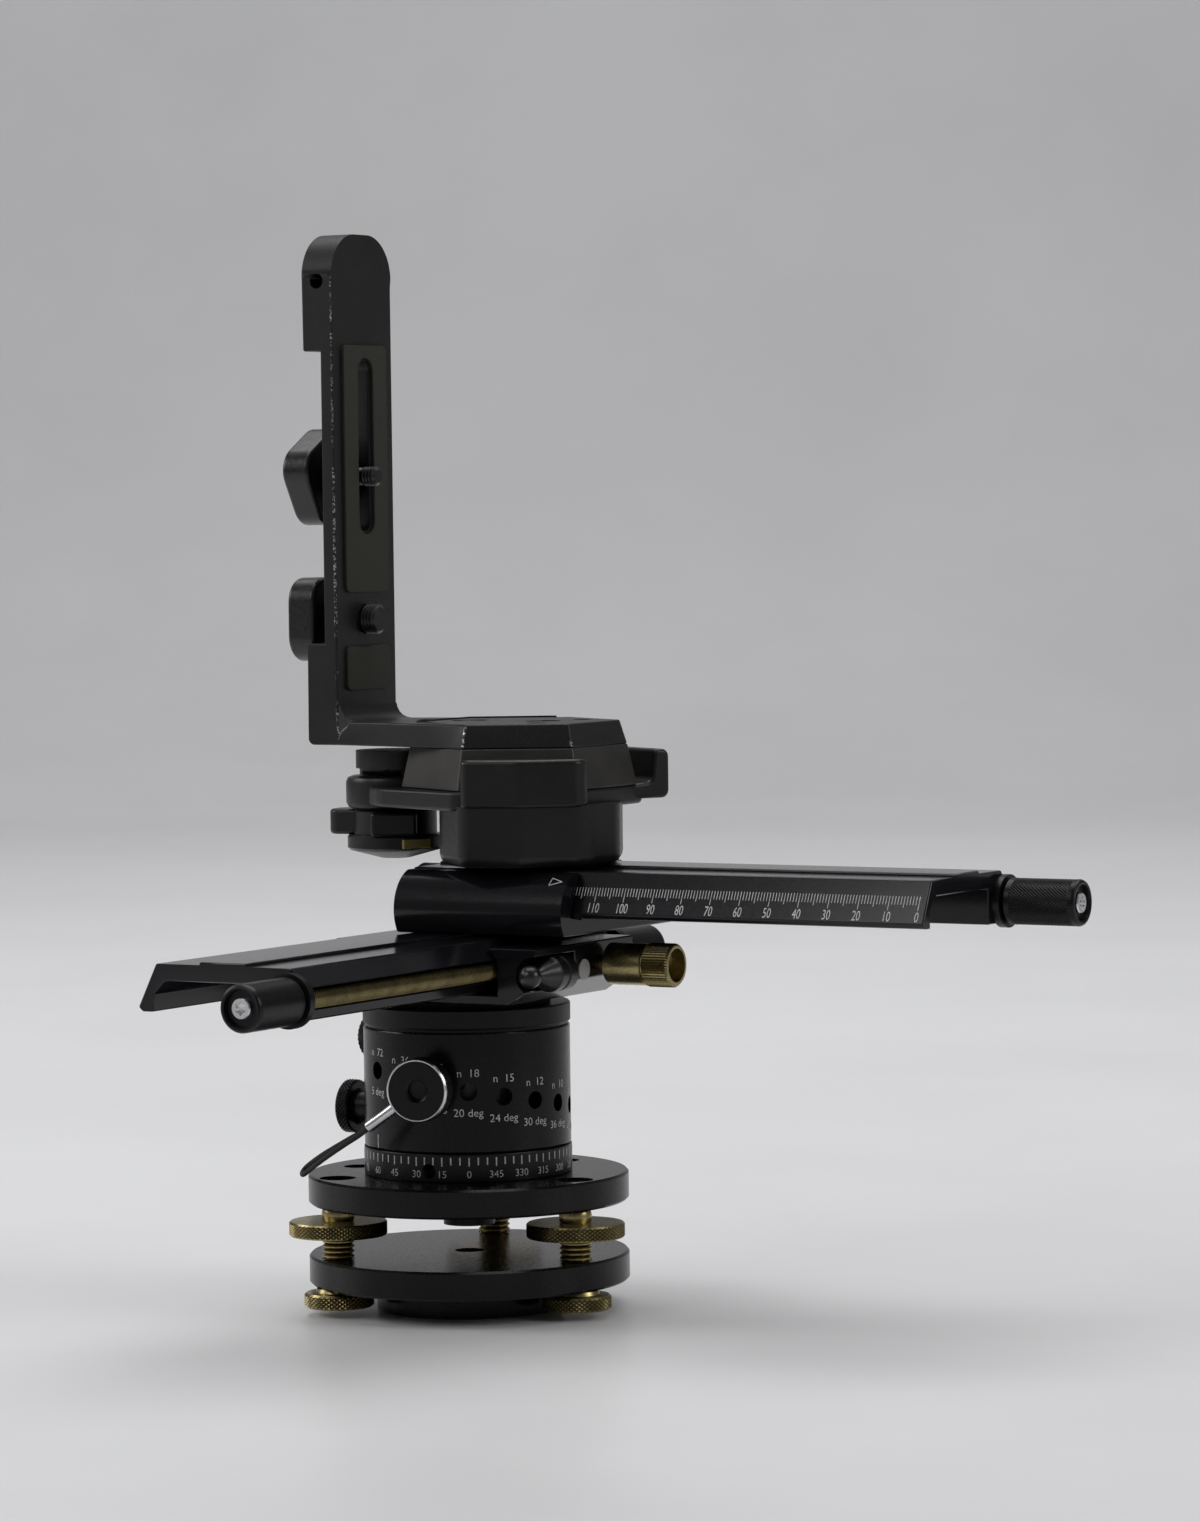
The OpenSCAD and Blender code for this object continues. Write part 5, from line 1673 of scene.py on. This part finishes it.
@dataclass
class Bracket:
    """The upright bracket with its pads, knobs and screws."""

    edge: float = 0.6 * MM
    edge_least: float = 6.0 * MM
    edge_angle: float = 30.0
    corner_least: float = 20.0 * MM
    corner_steps: int = 5
    inner_fillet: float = 5.0 * MM
    outer_round: float = 2.4 * MM
    foot_low: float = 175.0 * MM
    foot_top: float = 182.4 * MM
    arm_out: float = -56.0 * MM
    arm_in: float = -45.0 * MM
    arm_mid: float = 15.5 * MM
    arm_front: float = -2.0 * MM
    wear_reach: float = 1.5 * MM
    wear_least: float = 3.0 * MM
    knob_half: float = 13.3 * MM
    knob_corner: float = 7.8 * MM
    knob_edge: float = 1.4 * MM
    knob_steps: int = 8
    knob_face: float = -56.2 * MM
    knob_thick: float = 10.0 * MM
    neck_r: float = 5.5 * MM
    neck_sunk: float = 0.1 * MM
    tip: float = 5.5 * MM
    tip_bevel: float = 0.4 * MM
    tip_inset: float = 0.9 * MM
    shank_relief: float = 0.2 * MM
    thread_start: float = 0.5 * MM
    thread_pitch: float = 1.2 * MM
    thread_depth: float = 0.5 * MM
    thread_steps: int = 48
    pad_corner: float = 2.2 * MM
    pad_edge: float = 0.35 * MM
    pad_angle: float = 60.0
    pad_least: float = 0.5 * MM
    pad_steps: int = 4

    def bracket(self) -> None:
        """Dress the bracket: rounded edges, some of which are worn bright."""
        bm = copy_node("l_bracket")
        wear = bm.faces.layers.float.new("wear")
        for x, z, width in ((self.arm_in, self.foot_top, self.inner_fillet),
                            (self.arm_out, self.foot_low, self.outer_round)):
            corner = [e for e in sharp_edges(bm, self.corner_least)
                      if all(abs(v.co.x - x) < NEAR and abs(v.co.z - z) < 3 * NEAR for v in e.verts)]
            round_edges(bm, corner, width, self.corner_steps)
        for face in round_edges(bm, sharp_edges(bm, self.edge_least, self.edge_angle), self.edge):
            middle = face.calc_center_median()
            inner = (abs(middle.x - self.arm_in) < self.wear_reach
                     and middle.y < self.arm_front + self.wear_reach)
            rise = max(abs(e.verts[0].co.z - e.verts[1].co.z) for e in face.edges)
            if rise > self.wear_least and (inner or middle.z < self.foot_top):
                face[wear] = 1.0
        piece(bm, "l_bracket_skin", "l_bracket", WORN_PAINT)

    def knob(self, node: str, height: float, shank: float, seat: float, turn: float) -> None:
        """Make a square knob with its screw.

        Args:
            node: The screw's name.
            height: Its height.
            shank: Radius of its thread.
            seat: Place of its neck's end.
            turn: How far the knob is turned, in degrees.
        """
        half, face = self.knob_half, self.knob_face
        square = [(-half, -half), (half, -half), (half, half), (-half, half)]
        bm = prism(square, face - self.knob_thick, face, self.knob_corner, self.knob_edge, self.knob_edge,
                   self.knob_steps)
        twist = Matrix.Rotation(math.radians(turn), 3, "Z")
        bmesh.ops.rotate(bm, cent=(0, 0, 0), matrix=twist, verts=bm.verts)
        root, tip = face - self.neck_sunk, self.arm_in + self.tip
        relief_r, thread_low = shank - self.shank_relief, self.arm_in + self.thread_start
        profile = [(0.0, root), (self.neck_r, root), (self.neck_r, seat), (relief_r, seat),
                   (relief_r, thread_low),
                   *thread_rows(shank, thread_low, tip - self.tip_bevel, self.thread_pitch,
                                self.thread_depth),
                   (shank - self.tip_inset, tip), (0.0, tip)]
        merge(bm, spun(profile, self.thread_steps))
        place = Matrix.Translation((0, self.arm_mid, height)) @ Matrix.Rotation(math.pi / 2, 4, "Y")
        piece(bm, f"{node}_skin", node, BLACK_PLASTIC, place)

    def pads(self) -> None:
        """Dress the two pads: round corners and soft faces."""
        bm = copy_node("arm_pads")
        corners = [e for e in sharp_edges(bm, 0.0, self.pad_angle)
                   if abs(e.verts[0].co.x - e.verts[1].co.x) > self.pad_least]
        round_edges(bm, corners, self.pad_corner, self.pad_steps)
        face = max(v.co.x for v in bm.verts)
        rims = [e for e in sharp_edges(bm, 0.0, self.pad_angle) if all(v.co.x > face - NEAR for v in e.verts)]
        round_edges(bm, rims, self.pad_edge)
        piece(bm, "arm_pads_skin", "arm_pads", CORK_PAD)

    def build(self) -> None:
        """Build the whole bracket."""
        self.bracket()
        self.knob("camera_screw", height=259.6 * MM, shank=3.1 * MM, seat=-51.1 * MM, turn=30.0)
        self.knob("lower_arm_screw", height=214.4 * MM, shank=4.7 * MM, seat=-49.6 * MM, turn=0.0)
        dressed("camera_washer", DARK_STEEL)
        self.pads()
        dressed("plate_screws", DARK_STEEL)


@dataclass(frozen=True)
class Lamp:
    """One soft square lamp, the point that it faces and whether glossy surfaces mirror it."""

    name: str
    place: tuple[float, float, float]
    size: float
    power: float
    aim: tuple[float, float, float] = (0.0, 0.0, 0.15)
    mirrored: bool = True


@dataclass
class Studio:
    """Floor, light and the view at the photographed angle."""

    eye: tuple[float, float, float] = (0.8725, -1.4151, 0.24687)
    heading: float = 30.186
    pitch: float = 2.645
    roll: float = -0.732
    focal_px: float = 5345.5
    image_h: float = 1521.0
    sensor: float = 36.0
    sweep_wide: float = 12.0
    sweep_front: float = -8.0
    sweep_back: float = 2.6
    sweep_bend: float = 1.2
    sweep_high: float = 4.5
    sweep_steps: int = 12
    surround: Colour = (0.93, 0.93, 0.95)
    surround_strength: float = 0.15
    lamps: tuple[Lamp, ...] = (
        Lamp("overhead", (-0.2, 0.5, 2.3), 2.2, 40.0),
        Lamp("left", (-1.7, -0.7, 1.0), 0.9, 12.0),
        Lamp("right", (1.9, 0.3, 1.0), 0.9, 10.0),
        Lamp("front", (-0.6, -1.9, 1.5), 1.0, 9.0),
        Lamp("backdrop", (-0.7, 1.2, 2.6), 1.6, 22.0, (-1.9, 3.3, 0.6), mirrored=False))

    def camera(self) -> None:
        """Set the view up."""
        heading, pitch, roll = (math.radians(a) for a in (self.heading, self.pitch, self.roll))
        ahead = Vector((-math.sin(heading) * math.cos(pitch), math.cos(heading) * math.cos(pitch),
                        -math.sin(pitch)))
        level = Vector((math.cos(heading), math.sin(heading), 0.0))
        upright = level.cross(ahead)
        right = level * math.cos(roll) + upright * math.sin(roll)
        above = upright * math.cos(roll) - level * math.sin(roll)
        lens = bpy.data.cameras.new("camera")
        lens.sensor_fit = "VERTICAL"
        lens.sensor_height = self.sensor
        lens.lens = self.focal_px * self.sensor / self.image_h
        holder = bpy.data.objects.new("camera", lens)
        turn = Matrix((right, above, -ahead)).transposed().to_4x4()
        holder.matrix_world = Matrix.Translation(self.eye) @ turn
        bpy.context.scene.collection.objects.link(holder)
        bpy.context.scene.camera = holder

    def floor(self) -> None:
        """Lay the pale floor, which sweeps up behind the object."""
        bm = bmesh.new()
        turns = [i * math.pi / (2 * self.sweep_steps) for i in range(self.sweep_steps + 1)]
        arc = [(self.sweep_back + self.sweep_bend * math.sin(a), self.sweep_bend * (1 - math.cos(a)))
               for a in turns]
        line = [(self.sweep_front, 0.0)] + arc + [(self.sweep_back + self.sweep_bend, self.sweep_high)]
        verts = [bm.verts.new((-self.sweep_wide / 2, y, z)) for y, z in line]
        edges = [bm.edges.new(pair) for pair in zip(verts, verts[1:])]
        made = bmesh.ops.extrude_edge_only(bm, edges=edges)
        moved = [v for v in made["geom"] if isinstance(v, BMVert)]
        bmesh.ops.translate(bm, vec=(self.sweep_wide, 0, 0), verts=moved)
        turn = Matrix.Rotation(math.radians(self.heading), 3, "Z")
        bmesh.ops.rotate(bm, cent=(0, 0, 0), matrix=turn, verts=bm.verts)
        mesh = bpy.data.meshes.new("sweep")
        bm.to_mesh(mesh)
        bm.free()
        mesh.shade_smooth()
        mesh.materials.append(Rack.get(PALE_FLOOR))
        made = bpy.data.objects.new("sweep", mesh)
        bpy.context.scene.collection.objects.link(made)

    def hang(self, lamp: Lamp) -> None:
        """Hang a lamp.

        Args:
            lamp: The lamp.
        """
        light = bpy.data.lights.new(lamp.name, "AREA")
        light.size = lamp.size
        light.energy = lamp.power
        holder = bpy.data.objects.new(lamp.name, light)
        holder.location = lamp.place
        holder.visible_glossy = lamp.mirrored
        holder.rotation_euler = (Vector(lamp.aim) - Vector(lamp.place)).to_track_quat("-Z", "Y").to_euler()
        bpy.context.scene.collection.objects.link(holder)

    def world(self) -> None:
        """Set an even pale surround."""
        world = bpy.data.worlds.new("surround")
        world.use_nodes = True
        back = world.node_tree.nodes["Background"]
        back.inputs["Color"].default_value = (*self.surround, 1.0)
        back.inputs["Strength"].default_value = self.surround_strength
        bpy.context.scene.world = world

    def build(self) -> None:
        """Build the studio."""
        bpy.context.scene.view_settings.view_transform = "Standard"
        self.camera()
        self.floor()
        for lamp in self.lamps:
            self.hang(lamp)
        self.world()


def main() -> None:
    """Build the sub-assemblies in order."""
    logging.basicConfig(level=logging.INFO, format="%(name)s: %(message)s")
    Studio().build()
    rotator = Rotator()
    Tether(rotator.plunger_frame(), rotator.pull_r, (rotator.pull_in + rotator.pull_out) / 2).build()
    LevellingBase().build()
    rotator.build()
    Slide("lower", origin=Vector((0, 0, 97.6)) * MM, forward=Vector((0, -1, 0)), lateral=Vector((1, 0, 0)),
          front=134.5 * MM, knob_cut=Knurl.NONE).build()
    Slide("upper", origin=Vector((17, 15.5, 118.1)) * MM, forward=Vector((1, 0, 0)),
          lateral=Vector((0, 1, 0)), front=149.5 * MM, knob_cut=Knurl.DIAMOND).build()
    Clamp().build()
    Bracket().build()
    bpy.context.view_layer.update()


if __name__ == "__main__":
    main()
